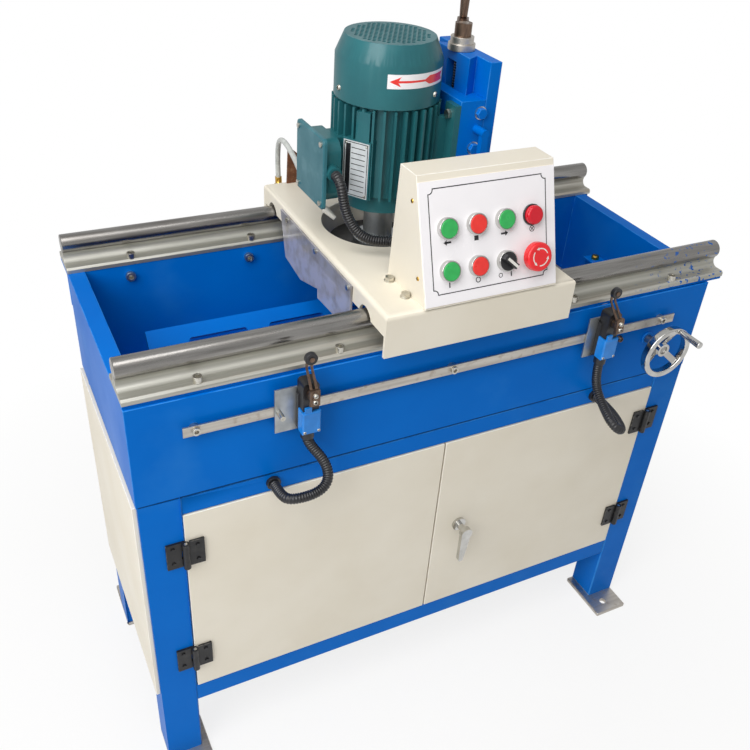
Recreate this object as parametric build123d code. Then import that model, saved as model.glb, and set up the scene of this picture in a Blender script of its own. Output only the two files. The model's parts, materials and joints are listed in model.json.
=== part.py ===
from build123d import *
import math
import os

# Straight knife grinder, in millimetres: X runs along the rails, the front is at -Y, Z is up.
# The origin lies on the floor, at the centre of the four anchor holes.

os.makedirs("parts", exist_ok=True)

# Frame and cabinet
frame_length = 1000
frame_depth = 380
frame_height = 617
leg_width = 60
tube_wall = 3
rail_tube_depth = 40
top_tube_height = 33
low_tube_height = 40
low_tube_top = 183
foot_thickness = 8
foot_width = 74
foot_reach = 51
anchor_radius = 7
anchor_side_inset = 40
anchor_tip_inset = 26
sheet = 2
panel_depth = 7
panel_inset = 5
post_width = 30
post_thickness = 5

# Doors, hinges and latch
door_gap = 3
door_clearance = 2
door_depth = 18
door_proud = 2
post_gap = 0.5
hinge_height = 50
hinge_leaf_width = 29
hinge_thickness = 4
hinge_axis_proud = 8
knuckle_radius = 5.5
hinge_pin_radius = 2.5
hinge_low_inset = 80
hinge_high_inset = 75
hinge_screw_radius = 3.2
latch_x = 50
latch_shaft_radius = 6
latch_rosette_radius = 13
latch_rosette_height = 5
latch_neck = 23
latch_knob_radius = 11
latch_lever_length = 62
latch_lever_half = 10
latch_lever_thickness = 8
latch_tip_radius = 5
latch_tip_shift = 4
latch_cam_length = 48
latch_cam_half = 8
latch_cam_gap = 1

# Trough and rail bearers
trough_height = 177
trough_sheet = 4
trough_overhang = 2
left_lip = 26
right_lip = 20
drain_inset = 260
drain_radius = 16
bearer_width = 66
bearer_thickness = 6
angle_leg = 60
angle_bolt_drop = 19
angle_bolt_share = 0.203
angle_bolt_radius = 4
angle_nut_height = 6

# Rails
rail_length = 1035
rail_overhang = 30.5
front_rail_inset = 37
shaft_radius = 15
shaft_lift = 37
support_width = 70
support_flange = 9
support_bevel = 3
cradle_half = 12
waist_half = 8
rail_screw_radius = 6.5
rail_screw_height = 9
rail_screw_offset = 27
rail_screw_pitch = 102.5

# Limit bar and switches
bar_end_inset = 70
bar_drop = 56
bar_height = 16
bar_thickness = 3
bar_screw_height = 4
bar_left_screw = 18
bar_right_screw = 25
bar_middle_shift = 10
spacer_length = 7
left_switch_inset = 244
right_switch_inset = 230
switch_width = 28
switch_drop = 30
switch_base_depth = 9
switch_base_height = 60
switch_cover_depth = 18
switch_cover_height = 38
switch_head_width = 24
switch_head_depth = 22
switch_head_height = 46
switch_head_round = 6
switch_tongue_width = 10
switch_tongue_height = 8
switch_bracket_height = 74
left_bracket_reach = 45
right_bracket_reach = 31
bracket_thickness = 3
bracket_screw_inset = 6
bracket_screw_radius = 4
bracket_screw_length = 16
lever_pivot_lift = 68
lever_arm = 54.5
lever_thickness = 2
lever_front_gap = 4
lever_foot = 15
lever_low_bend = 12
lever_high_bend = 36
lever_setback = 18
lever_half_low = 6.5
lever_half_high = 5
lever_slot_half = 2
lever_hub_radius = 8
lever_hub_proud = 3
lever_nut_radius = 4
lever_pivot_radius = 4
right_lever_tilt = 8.4
roller_radius = 9
roller_width = 8
roller_pin_radius = 2
roller_rivet_radius = 3.6

# Ribbed conduits and the coolant hose
conduit_radius = 8
conduit_root = 6.7
conduit_bore = 5.2
rib_pitch = 4
conduit_hole_inset = 200
gland_radius = 11
gland_length = 16
terminal_gland_length = 6
grommet_length = 6
hose_radius = 4.5
hose_bore = 3
nozzle_length = 24
fitting_drop = 20
fitting_radius = 8
hose_plate_thickness = 4

# Knife bed and its worm drive
bed_y = 72
bed_lift = 45
bed_angle = 45
bed_left_inset = 86
bed_right_inset = 160
bed_half_width = 48
bed_standoff = 38
bed_thickness = 12
bed_slot_pitch = 135
bed_slot_length = 98
bed_slot_low = 8
bed_slot_high = 25
bed_slot_round = 6
bed_slot_inset = 113
bed_slot_count = 5
bed_shaft_radius = 15
bed_collar_radius = 24
bed_rib_thickness = 12
pillow_inset = 20
pillow_thickness = 20
pillow_half_width = 30
pillow_wall = 11
pillow_pad_lift = 43
pillow_pad_half = 16
pillow_pad_thickness = 4
tooth_module = 2
worm_wheel_teeth = 24
worm_wheel_width = 16
worm_pitch_radius = 10
worm_shaft_radius = 7.5
worm_inset = 110
worm_bracket_half = 18
worm_bracket_plate = 8
worm_bracket_span = 98
worm_bracket_base = 6
bush_length = 3
bush_wall = 4
oil_cup_radius = 7.5
oil_cup_height = 8
wheel_rim_radius = 47.5
wheel_rim_depth = 14
wheel_rim_thickness = 10
wheel_rim_round = 2.5
wheel_rim_reach = 55
wheel_hub_radius = 12
wheel_hub_recess = 11
wheel_hub_length = 20
wheel_spoke_half = 5.5
wheel_spoke_thickness = 7
wheel_spoke_turn = 9
wheel_grip_length = 44
wheel_grip_radius = 6
wheel_grip_taper = 1
wheel_grip_angle = 68
grip_pin = 3

# Coolant tank, pump and electrics plate
tank_length = 360
tank_depth = 270
tank_height = 155
tank_inset = 20
tank_front = -120
pump_inset = 90
pump_radius = 45
pump_height = 110
pump_plate = 4
pump_y = 20
plate_left = 60
plate_length = 320
device_column = 72
device_width = 56
contactor_height = 86
relay_height = 52

# Carriage
deck_left = -145
deck_right = 175
deck_front_reach = 67
deck_rear_reach = 43
deck_lift = 39
deck_sheet = 6
deck_bend = 7.5
skirt_drop = 68
side_drop = 34
notch_radius = 20
bearing_half = 35
bearing_height = 50
bearing_slot_half = 13
bearing_inset = 75
rear_bearing_inset = 115
bearing_bolt_half = 25
deck_bolt_radius = 4
deck_bolt_depth = 18
deck_flange_radius = 7.6
deck_flange_height = 1.6
deck_head_radius = 6
deck_head_height = 5.4
guard_sheet = 4
guard_inset = 91
guard_length = 284
guard_screw_radius = 4
guard_screw_height = 3
guard_screw_drop = 5.5
wheel_hole_radius = 93
guard_ring_gap = 2
guard_ring_wall = 2
guard_ring_height = 44

# Control box
box_inset = 58
box_length = 222
box_overhang = 2
box_depth = 115
box_height = 174
box_front_run = 59
box_top_depth = 45
box_wall = 2
plate_margin = 1
plate_low = 3
plate_high = 174
plate_thickness = 1.5
device_hole = 11
bezel_radius = 15.2
bezel_height = 8.5
low_bezel_height = 3.5
lamp_height = 12
button_radius = 9.8
button_head_radius = 13.2
button_head = 3.5
button_proud = 1
button_depth = 12
button_travel = 3.5
barrel_length = 16
barrel_end = 4
contact_block = 26
device_inset = 40.5
device_pitch = 46.7
upper_row = 109
lower_row = 50
knob_bar_half = 4
knob_bar_height = 9
knob_angle = -42
stop_head_radius = 21
stop_head_height = 12
stop_travel = 4
box_gland_inset = 37
box_gland_lift = 27
box_gland_reach = 5

# Head: column, slide block, feed screw, motor, spindle and wheel
column_inset = 67
column_thickness = 20
head_y = 60
column_half_width = 77
column_height = 267
way_depth = 20
way_half_outer = 50
way_half_inner = 38
way_clearance = 0.2
way_slot_half = 13
way_slot_depth = 26
screw_bridge = 15
block_lift = 65
block_height = 148
block_thickness = 42.7
feed_screw_radius = 8
feed_screw_inset = 6
feed_nut_half = 12
feed_nut_lift = 50
feed_nut_height = 30
collar_radius = 21
collar_step = 3
collar_height = 20
crank_arm = 33
crank_angle = 61.4
crank_hub_radius = 13
crank_hub_height = 11
crank_plate = 8
crank_boss_radius = 9
crank_grip_length = 48
clamp_inset = 12
clamp_lift = 105
clamp_stud_radius = 5
clamp_reach = 28
clamp_arm = 46
clamp_hub_radius = 6.5
gib_radius = 7.5
gib_height = 8
motor_offset = 129
motor_drop = 23
motor_body_drop = 5
motor_body_radius = 70
motor_fin_height = 13
motor_fin_width = 3.6
motor_fin_count = 32
motor_shield_height = 28
motor_shield_radius = 62
motor_top_ring = 1
plate_pad_angle = -146
plate_pad_half = 24
plate_pad_height = 90
side_pad_angle = -140
side_pad_half = 11
motor_spigot = 10
motor_cavity_radius = 54
foot_pad_thickness = 10
foot_bolt_half = 62.5
foot_bolt_low_inset = 27
foot_bolt_high_inset = 21
foot_bolt_radius = 4.3
cover_radius = 80.5
cover_rise = 84
cover_shoulder = 29
cover_dish_radius = 68
cover_sheet = 2
cover_hole_radius = 2.8
cover_hole_pitch = 8
cover_hole_reach = 57
terminal_reach = 124
terminal_half_width = 52
terminal_drop = 7
terminal_height = 109
terminal_lid = 6
terminal_depth = 26
terminal_round = 20
terminal_wall = 4
terminal_neck_half = 21
terminal_lid_overhang = 7
terminal_gland_inset = 17
terminal_gland_lift = 57
motor_shaft_radius = 9.5
arbor_radius = 24
arbor_sink = 24
arbor_flange_radius = 40
arbor_flange_height = 10
wheel_radius = 80
wheel_height = 46
wheel_rim_width = 20
wheel_web = 16
wheel_bore = 10

# Travel drive
rack_drop = 56
rack_depth = 15
rack_back = 22
rack_half_length = 320
pinion_teeth = 20
pinion_width = 12
pinion_rack_inset = 2
drive_shaft_radius = 6
drive_plate_half = 60
drive_plate_thickness = 6
drive_plate_drop = 28
gearbox_half = 30
gearbox_length = 45
drive_motor_radius = 28
drive_motor_length = 80

# Fits between parts that turn or slide on each other
running = 0.06
small_gap = 0.3

# Places that follow from the sizes above
half_x = frame_length / 2
half_y = frame_depth / 2
leg_in_x = half_x - leg_width
leg_in_y = half_y - leg_width
top_tube_low = frame_height - top_tube_height
low_tube_low = low_tube_top - low_tube_height
anchor_x = half_x - anchor_side_inset
anchor_y = half_y + foot_reach - anchor_tip_inset
door_front = -(half_y + door_proud)
door_back = door_front + door_depth
door_low = low_tube_top + door_clearance
door_high = top_tube_low - door_clearance
door_edge = leg_in_x - door_clearance
post_front = door_back + post_gap
post_back = post_front + post_thickness
hinge_x = (leg_in_x + door_edge) / 2
hinge_y = -(half_y + hinge_axis_proud)
hinge_low_z = door_low + hinge_low_inset
hinge_high_z = door_high - hinge_high_inset
latch_z = (door_low + door_high) / 2
trough_x = half_x + trough_overhang
trough_low = frame_height
trough_top = frame_height + trough_height
trough_floor = trough_low + trough_sheet
drain_x = drain_inset - half_x
seat_z = trough_top
bearer_low = seat_z - bearer_thickness
front_rail_y = front_rail_inset - half_y
rear_rail_y = half_y + angle_leg / 2
rail_right = trough_x + rail_overhang
rail_left = rail_right - rail_length
shaft_z = seat_z + shaft_lift
bearer_front = front_rail_y - bearer_width / 2
bearer_rear = front_rail_y + bearer_width / 2
angle_front = half_y
angle_bolt_pitch = angle_bolt_share * frame_length
bar_half_length = half_x - bar_end_inset
bar_z = trough_top - bar_drop
bar_back = -(half_y + spacer_length)
bar_front = bar_back - bar_thickness
bracket_front = bar_front - bracket_thickness
left_switch_x = left_switch_inset - half_x
right_switch_x = half_x - right_switch_inset
switch_low = bar_z - switch_drop
base_front = bracket_front - switch_base_depth
cover_front = base_front - switch_cover_depth
head_front = bracket_front - switch_head_depth
cover_high = switch_low + switch_cover_height
head_low = cover_high + small_gap
lever_pivot_z = switch_low + lever_pivot_lift
switch_mid_y = base_front - 1
conduit_hole_x = half_x - conduit_hole_inset
conduit_hole_z = top_tube_low + top_tube_height / 2
bed_z = trough_floor + bed_lift
bed_left = bed_left_inset - half_x
bed_right = half_x - bed_right_inset
bed_slot_first = bed_left + bed_slot_inset
pillow_x = half_x - pillow_inset
worm_x = half_x - worm_inset
worm_z = bed_z + tooth_module * worm_wheel_teeth / 2 + worm_pitch_radius
wheel_rim_front = -(half_y + wheel_rim_reach)
deck_top = shaft_z + deck_lift
deck_low = deck_top - deck_sheet
deck_front = front_rail_y - deck_front_reach
deck_rear = rear_rail_y + deck_rear_reach
bearing_low = deck_low - bearing_height
box_left = deck_left + box_inset
box_right = box_left + box_length
box_front = deck_front - box_overhang
box_rear = box_front + box_depth
box_top_front = box_front + box_front_run
box_top_rear = box_top_front + box_top_depth
box_low = deck_top
box_high = deck_top + box_height
device_first_x = box_left + device_inset
box_gland_x = box_left + box_gland_inset
box_gland_z = deck_top + box_gland_lift
box_gland_end = box_rear + box_gland_reach
column_left = deck_right - column_inset
column_right = column_left + column_thickness
column_top = deck_top + column_height
column_front = head_y - column_half_width
column_rear = head_y + column_half_width
way_left = column_left - way_depth
feed_screw_x = column_left - feed_screw_inset
block_low = deck_top + block_lift
block_high = block_low + block_height
block_right = column_left - small_gap
block_left = block_right - block_thickness
feed_nut_low = block_low + feed_nut_lift
clamp_x = column_left - clamp_inset
clamp_z = block_low + clamp_lift
motor_x = column_left - motor_offset
motor_low = block_low - motor_drop
motor_body_top = block_high - motor_body_drop
foot_bolt_low = block_low + foot_bolt_low_inset
foot_bolt_high = block_high - foot_bolt_high_inset
cover_low = motor_body_top + 1
cover_top = block_high + cover_rise
terminal_left = motor_x - terminal_reach
lid_left = terminal_left + terminal_lid
terminal_right = lid_left + terminal_depth
terminal_low = block_low - terminal_drop
terminal_high = terminal_low + terminal_height
terminal_front = head_y - terminal_half_width
terminal_rear = head_y + terminal_half_width
terminal_gland_x = terminal_left + terminal_gland_inset
terminal_gland_z = terminal_low + terminal_gland_lift
terminal_gland_end = terminal_front - terminal_gland_length
arbor_low = deck_top - arbor_sink
arbor_high = motor_low - 4
flange_low = arbor_low - arbor_flange_height
wheel_low = flange_low - wheel_height
rack_x = (deck_left + deck_right) / 2
rack_pitch_z = seat_z - rack_drop
pinion_radius = tooth_module * pinion_teeth / 2
pinion_z = rack_pitch_z - pinion_radius
rack_front = angle_front + bearer_thickness
drive_plate_low = pinion_z - drive_plate_drop
drive_plate_high = deck_top - deck_bend
fitting_z = deck_top - fitting_drop


def around(x, y, z, offsets):
    return [(x + dx, y + dy, z + dz) for dx, dy, dz in offsets]


# Routes of the hoses, from the fitting that each one leaves
left_conduit_route = around(left_switch_x, switch_mid_y, switch_low - gland_length, [(0, 0, 0), (0, 0, -10)])
left_conduit_route += around(-conduit_hole_x, -half_y, conduit_hole_z, [
    (67, -39, 49.5), (70, -49, 21.5), (52, -53, 4.5), (10, -53, 4.5), (0, -34, 0), (0, -grommet_length, 0)])
right_conduit_route = around(right_switch_x, switch_mid_y, switch_low - gland_length, [(0, 0, 0), (0, 0, -38)])
right_conduit_route += around(conduit_hole_x, -half_y, conduit_hole_z, [
    (-28, -50, 23.5), (-36, -94, 9.5), (-12, -100, -6.5), (0, -50, 0), (0, -grommet_length, 0)])
motor_conduit_route = around(terminal_gland_x, terminal_gland_end, terminal_gland_z, [
    (0, 0, 0), (0, -21, 0), (5, -28, -47), (22, -38, -80)])
motor_conduit_route += around(box_gland_x, box_gland_end, box_gland_z, [
    (-34, 54, -3), (0, 37, 0), (0, 0, 0)])
coolant_hose_route = around(deck_left, deck_rear, deck_top, [
    (34, 18, 2), (31, 16, 52), (23, -23, 92), (27, -77, 74), (28, -136, 32), (46, -161, 15)])


def save(name, *pieces):
    solids = []
    for piece in pieces:
        solids.extend(piece.solids())
    export_step(Compound(solids), f"parts/{name}.step")


def block(x0, x1, y0, y1, z0, z1):
    return Pos((x0 + x1) / 2, (y0 + y1) / 2, (z0 + z1) / 2) * Box(x1 - x0, y1 - y0, z1 - z0)


def rod_x(x0, x1, y, z, radius):
    return Pos((x0 + x1) / 2, y, z) * Rot(0, 90, 0) * Cylinder(radius, x1 - x0)


def rod_y(x, y0, y1, z, radius):
    return Pos(x, (y0 + y1) / 2, z) * Rot(90, 0, 0) * Cylinder(radius, y1 - y0)


def rod_z(x, y, z0, z1, radius):
    return Pos(x, y, (z0 + z1) / 2) * Cylinder(radius, z1 - z0)


def hex_z(x, y, z0, z1, flat_radius):
    head = extrude(RegularPolygon(flat_radius, 6, major_radius=False), z1 - z0)
    return Pos(x, y, z0) * head


def hex_x(x0, x1, y, z, flat_radius):
    head = extrude(RegularPolygon(flat_radius, 6, major_radius=False), x1 - x0)
    return Pos(x0, y, z) * Rot(0, 90, 0) * head


def socket_y(x, y0, y1, z, radius):
    # Socket head between y0 and y1, its hexagon open at y0
    socket = extrude(RegularPolygon(radius * 0.5, 6, major_radius=False), radius)
    return rod_y(x, y0, y1, z, radius) - Pos(x, y0, z) * Rot(-90, 0, 0) * socket


def socket_z(x, y, z0, z1, radius):
    # Socket head between z0 and z1, its hexagon open at z1
    depth = (z1 - z0) * 0.6
    socket = extrude(RegularPolygon(radius * 0.5, 6, major_radius=False), depth)
    return rod_z(x, y, z0, z1, radius) - Pos(x, y, z1 - depth) * socket


def prism_x(points, x0, x1):
    # Outline in Y and Z, drawn out along X
    outline = Plane.YZ * make_face(Polyline(*points, close=True))
    return Pos(x0, 0, 0) * extrude(outline, x1 - x0)


def prism_y(points, y0, y1):
    # Outline in X and Z, drawn out along Y
    face = make_face(Polyline(*[(x, y0, z) for x, z in points], close=True))
    return extrude(face, y1 - y0, dir=(0, 1, 0))


def both_sides(part):
    return [part, mirror(part, about=Plane.YZ)]


def four_corners(part):
    rear = mirror(part, about=Plane.XZ)
    return both_sides(part) + both_sides(rear)


def tube_x(x0, x1, y0, y1, z0, z1):
    hole = block(x0, x1, y0 + tube_wall, y1 - tube_wall, z0 + tube_wall, z1 - tube_wall)
    return block(x0, x1, y0, y1, z0, z1) - hole


def tube_y(x0, x1, y0, y1, z0, z1):
    hole = block(x0 + tube_wall, x1 - tube_wall, y0, y1, z0 + tube_wall, z1 - tube_wall)
    return block(x0, x1, y0, y1, z0, z1) - hole


def hose_path(name, points):
    # Straight runs joined by arcs, each as large as its two runs allow
    corners = [Vector(*point) for point in points]
    radii = []
    for index in range(1, len(corners) - 1):
        before = corners[index] - corners[index - 1]
        after = corners[index + 1] - corners[index]
        half_turn = math.radians(before.get_angle(after)) / 2
        radii.append(0.45 * min(before.length, after.length) / math.tan(half_turn))
    path = FilletPolyline(*corners, radius=radii)
    print(name, "length", round(path.length, 1), "radii", [round(radius, 1) for radius in radii])
    return path


def steady_planes(path, stations):
    # Square planes along a path, whose X axis is carried on without twist
    start = path.tangent_at(0)
    x_axis = start.cross(Vector(0.3, 0.8, 0.52)).normalized()
    planes = []
    for station in stations:
        place = path.position_at(station, position_mode=PositionMode.LENGTH)
        ahead = path.tangent_at(station, position_mode=PositionMode.LENGTH)
        x_axis = (x_axis - ahead * x_axis.dot(ahead)).normalized()
        planes.append(Plane(origin=place, x_dir=x_axis, z_dir=ahead))
    return planes


def ribbed_hose(name, points):
    # Each rib has four circles; the two ends are plain for one diameter
    path = hose_path(name, points)
    end = 2 * conduit_radius
    count = int((path.length - 2 * end) / rib_pitch)
    pitch = (path.length - 2 * end) / count
    stations = [0]
    radii = [conduit_root]
    for rib in range(count):
        base = end + rib * pitch
        for share, radius in ((0.1, conduit_root), (0.3, conduit_radius),
                              (0.7, conduit_radius), (0.9, conduit_root)):
            stations.append(base + share * pitch)
            radii.append(radius)
    stations.append(path.length)
    radii.append(conduit_root)
    planes = steady_planes(path, stations)
    skin = loft([plane * Circle(radius) for plane, radius in zip(planes, radii)], ruled=True)
    bore = sweep(planes[0] * Circle(conduit_bore), path=path)
    section = math.pi * conduit_bore ** 2
    print(name, "ribs", count, "bore volume ratio", round(bore.volume / (section * path.length), 4))
    return skin - bore


def plain_hose(name, points):
    path = hose_path(name, points)
    start = Plane(origin=path.position_at(0), z_dir=path.tangent_at(0))
    tube = sweep(start * (Circle(hose_radius) - Circle(hose_bore)), path=path)
    section = math.pi * (hose_radius ** 2 - hose_bore ** 2)
    print(name, "volume ratio", round(tube.volume / (section * path.length), 4))
    return tube


def gear_face(teeth):
    # Straight-flanked teeth with backlash, one of them at the top
    pitch_radius = tooth_module * teeth / 2
    step = 2 * math.pi / teeth
    points = []
    for tooth in range(teeth):
        middle = math.pi / 2 + tooth * step
        for share, lift in ((-0.3, -1.25), (-0.09, 0.8), (0.09, 0.8), (0.3, -1.25)):
            radius = pitch_radius + lift * tooth_module
            angle = middle + share * step
            points.append((radius * math.cos(angle), radius * math.sin(angle)))
    return make_face(Polyline(*points, close=True))


# Frame: legs, foot plates, eight tubes and the door post
leg = block(leg_in_x, half_x, leg_in_y, half_y, foot_thickness, frame_height)
leg -= block(leg_in_x + tube_wall, half_x - tube_wall, leg_in_y + tube_wall, half_y - tube_wall,
             foot_thickness, frame_height)
foot = block(half_x - foot_width, half_x, leg_in_y, half_y + foot_reach, 0, foot_thickness)
foot -= rod_z(anchor_x, anchor_y, 0, foot_thickness, anchor_radius)
frame_parts = four_corners(leg) + four_corners(foot)
for z0, z1 in ((low_tube_low, low_tube_top), (top_tube_low, frame_height)):
    rear_tube = tube_x(-leg_in_x, leg_in_x, half_y - rail_tube_depth, half_y, z0, z1)
    front_tube = mirror(rear_tube, about=Plane.XZ)
    if z1 == frame_height:
        for side in (-1, 1):
            front_tube -= rod_y(side * conduit_hole_x, -half_y, -half_y + tube_wall, conduit_hole_z,
                                conduit_bore)
    side_tube = tube_y(half_x - rail_tube_depth, half_x, -leg_in_y, leg_in_y, z0, z1)
    frame_parts += [rear_tube, front_tube] + both_sides(side_tube)
post = block(-post_width / 2, post_width / 2, post_front, post_back, low_tube_top, top_tube_low)
save("frame", *frame_parts, post)

# Cabinet panels: side pans, back sheet and floor sheet
pan_half = half_y - panel_inset
pan_low = low_tube_top + panel_inset
pan_high = frame_height - sheet
pan = block(half_x, half_x + panel_depth, -pan_half, pan_half, pan_low, pan_high)
pan -= block(half_x, half_x + panel_depth - sheet, -pan_half + sheet, pan_half - sheet,
             pan_low + sheet, pan_high - sheet)
back_panel = block(-half_x + sheet, half_x - sheet, half_y, half_y + sheet,
                   low_tube_low + panel_inset, pan_high)
floor_panel = block(-leg_in_x + sheet, leg_in_x - sheet, post_back + post_gap, half_y - sheet,
                    low_tube_top, low_tube_top + sheet)
save("cabinet_panels", *both_sides(pan), back_panel, floor_panel)


# Doors: a folded pan each, and a hinge leaf with the middle knuckle at two heights
def leaf(outer, inner, y0, y1, z, knuckle_thirds):
    # Leaf between two X limits, joined to its knuckles on the hinge line
    third = hinge_height / 3
    plate = block(min(outer, inner), max(outer, inner), y0, y1, z - hinge_height / 2, z + hinge_height / 2)
    for part in knuckle_thirds:
        low = z - hinge_height / 2 + part * third + small_gap / 2
        high = low + third - small_gap
        bridge_end = (hinge_x, inner)
        plate += block(min(bridge_end), max(bridge_end), y0, y1, low, high)
        plate += rod_z(hinge_x, hinge_y, low, high, knuckle_radius)
        plate -= rod_z(hinge_x, hinge_y, low, high, hinge_pin_radius + running)
    return plate


leaf_gap = knuckle_radius + 2 * small_gap
leaf_screw_offset = hinge_leaf_width * 0.64
leaf_outer = hinge_x + hinge_leaf_width
leaf_inner = hinge_x - hinge_leaf_width
door_leaf_front = door_front - hinge_thickness
frame_leaf_front = -half_y - hinge_thickness
frame_leaves = []
door_leaves = []
for hinge_z in (hinge_low_z, hinge_high_z):
    frame_leaf = leaf(leaf_outer, hinge_x + leaf_gap, frame_leaf_front, -half_y, hinge_z, (0, 2))
    door_leaf = leaf(leaf_inner, hinge_x - leaf_gap, door_leaf_front, door_front, hinge_z, (1,))
    pin = rod_z(hinge_x, hinge_y, hinge_z - hinge_height / 2, hinge_z + hinge_height / 2, hinge_pin_radius)
    frame_leaves += [frame_leaf, pin]
    door_leaves.append(door_leaf)
    for lift in (-hinge_height * 0.3, hinge_height * 0.3):
        screw_z = hinge_z + lift
        frame_leaves.append(rod_y(hinge_x + leaf_screw_offset, frame_leaf_front - sheet, frame_leaf_front,
                                  screw_z, hinge_screw_radius))
        door_leaves.append(rod_y(hinge_x - leaf_screw_offset, door_leaf_front - sheet, door_leaf_front,
                                 screw_z, hinge_screw_radius))
frame_leaf_set = []
for piece in frame_leaves:
    frame_leaf_set += both_sides(piece)
save("hinge_frame_leaves", *frame_leaf_set)

door = block(door_gap / 2, door_edge, door_front, door_back, door_low, door_high)
door -= block(door_gap / 2 + sheet, door_edge - sheet, door_front + sheet, door_back,
              door_low + sheet, door_high - sheet)
left_pieces = [mirror(piece, about=Plane.YZ) for piece in [door] + door_leaves]
save("left_door", *left_pieces)
right_pan = door - rod_y(latch_x, door_front, door_front + sheet, latch_z, latch_shaft_radius + running)
save("right_door", right_pan, *door_leaves)

# Latch: rosette, neck, tapered lever and the cam behind the post
latch_front = door_front - latch_neck
latch_tip_z = latch_z - latch_lever_length
lever_face = latch_front - latch_lever_thickness
cam_front = post_back + latch_cam_gap
cam_back = cam_front + bracket_thickness
rosette_front = door_front - latch_rosette_height
latch = rod_y(latch_x, rosette_front, door_front - small_gap, latch_z, latch_rosette_radius)
latch += rod_y(latch_x, latch_front, cam_back, latch_z, latch_shaft_radius)
latch += rod_y(latch_x, lever_face - 1, latch_front + 1, latch_z, latch_knob_radius)
tip_x = latch_x - latch_tip_shift
latch += prism_y([(latch_x - latch_lever_half, latch_z), (latch_x + latch_lever_half, latch_z),
                  (tip_x + latch_tip_radius, latch_tip_z), (tip_x - latch_tip_radius, latch_tip_z)],
                 lever_face, latch_front)
latch += rod_y(tip_x, lever_face, latch_front, latch_tip_z, latch_tip_radius)
latch += block(latch_x - latch_cam_half, latch_x + latch_cam_half, cam_front, cam_back,
               latch_z - latch_cam_half, latch_z + latch_cam_length)
save("door_latch", latch)

# Trough: floor, four walls, a lip turned inward on the left and outward on the right
trough = block(-trough_x, trough_x, -half_y, half_y, trough_low, trough_top)
trough -= block(-trough_x + trough_sheet, trough_x - trough_sheet, -half_y + trough_sheet,
                half_y - trough_sheet, trough_floor, trough_top)
lip_low = trough_top - trough_sheet
trough += block(-trough_x, left_lip - trough_x, bearer_rear, half_y, lip_low, trough_top)
trough += block(trough_x - trough_sheet, trough_x + right_lip, bearer_rear, half_y, lip_low, trough_top)
trough -= block(-trough_x, trough_x, -half_y, bearer_rear, bearer_low, trough_top)
trough -= rod_z(drain_x, 0, trough_low, trough_floor, drain_radius - sheet)
trough -= rod_y(worm_x, -half_y, -half_y + trough_sheet, worm_z, worm_shaft_radius + sheet)
angle_bolt_z = seat_z - angle_bolt_drop
angle_bolt_places = [step * angle_bolt_pitch for step in range(-2, 3)]
for x in angle_bolt_places:
    trough -= rod_y(x, half_y - trough_sheet, half_y, angle_bolt_z, angle_bolt_radius + small_gap)
save("trough", trough)

# Bearers that carry the rails: a flat bar in front, an angle behind
front_bearer = block(rail_left, rail_right, bearer_front, bearer_rear, bearer_low, seat_z)
rear_bearer = block(rail_left, rail_right, angle_front, angle_front + angle_leg, bearer_low, seat_z)
rear_bearer += block(rail_left, rail_right, angle_front, rack_front, seat_z - angle_leg, seat_z)
for x in angle_bolt_places:
    rear_bearer -= rod_y(x, angle_front, rack_front, angle_bolt_z, angle_bolt_radius + small_gap)
save("rail_bearers", front_bearer, rear_bearer)

# Rails: ground shafts on extruded supports with hollowed sides
shafts = []
supports = []
for rail_y in (front_rail_y, rear_rail_y):
    bar = rod_x(rail_left, rail_right, rail_y, shaft_z, shaft_radius)
    shafts.append(chamfer(bar.edges().filter_by(GeomType.CIRCLE), 1))
    cradle_z = shaft_z - math.sqrt(shaft_radius ** 2 - cradle_half ** 2)
    flange_z = seat_z + support_flange
    half = support_width / 2
    sides = []
    for side in (1, -1):
        foot_edge = Line((0, rail_y, seat_z), (0, rail_y + side * half, seat_z))
        end_edge = Line(foot_edge @ 1, (0, rail_y + side * half, flange_z - support_bevel))
        bevel_edge = Line(end_edge @ 1, (0, rail_y + side * (half - support_bevel), flange_z))
        web_foot = rail_screw_offset - rail_screw_radius - small_gap
        flange_edge = Line(bevel_edge @ 1, (0, rail_y + side * web_foot, flange_z))
        waist = (0, rail_y + side * waist_half, (flange_z + cradle_z) / 2)
        hollow_edge = ThreePointArc(flange_edge @ 1, waist, (0, rail_y + side * cradle_half, cradle_z))
        crown_edge = Line(hollow_edge @ 1, (0, rail_y, cradle_z))
        close_edge = Line(crown_edge @ 1, foot_edge @ 0)
        edges = [foot_edge, end_edge, bevel_edge, flange_edge, hollow_edge, crown_edge, close_edge]
        sides.append(make_face(edges))
    support = Part()
    for face in sides:
        support += Pos(rail_left, 0, 0) * extrude(face, rail_right - rail_left, dir=(1, 0, 0))
    supports.append(support - rod_x(rail_left, rail_right, rail_y, shaft_z, shaft_radius))
save("rail_shafts", *shafts)
save("rail_supports", *supports)

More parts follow.
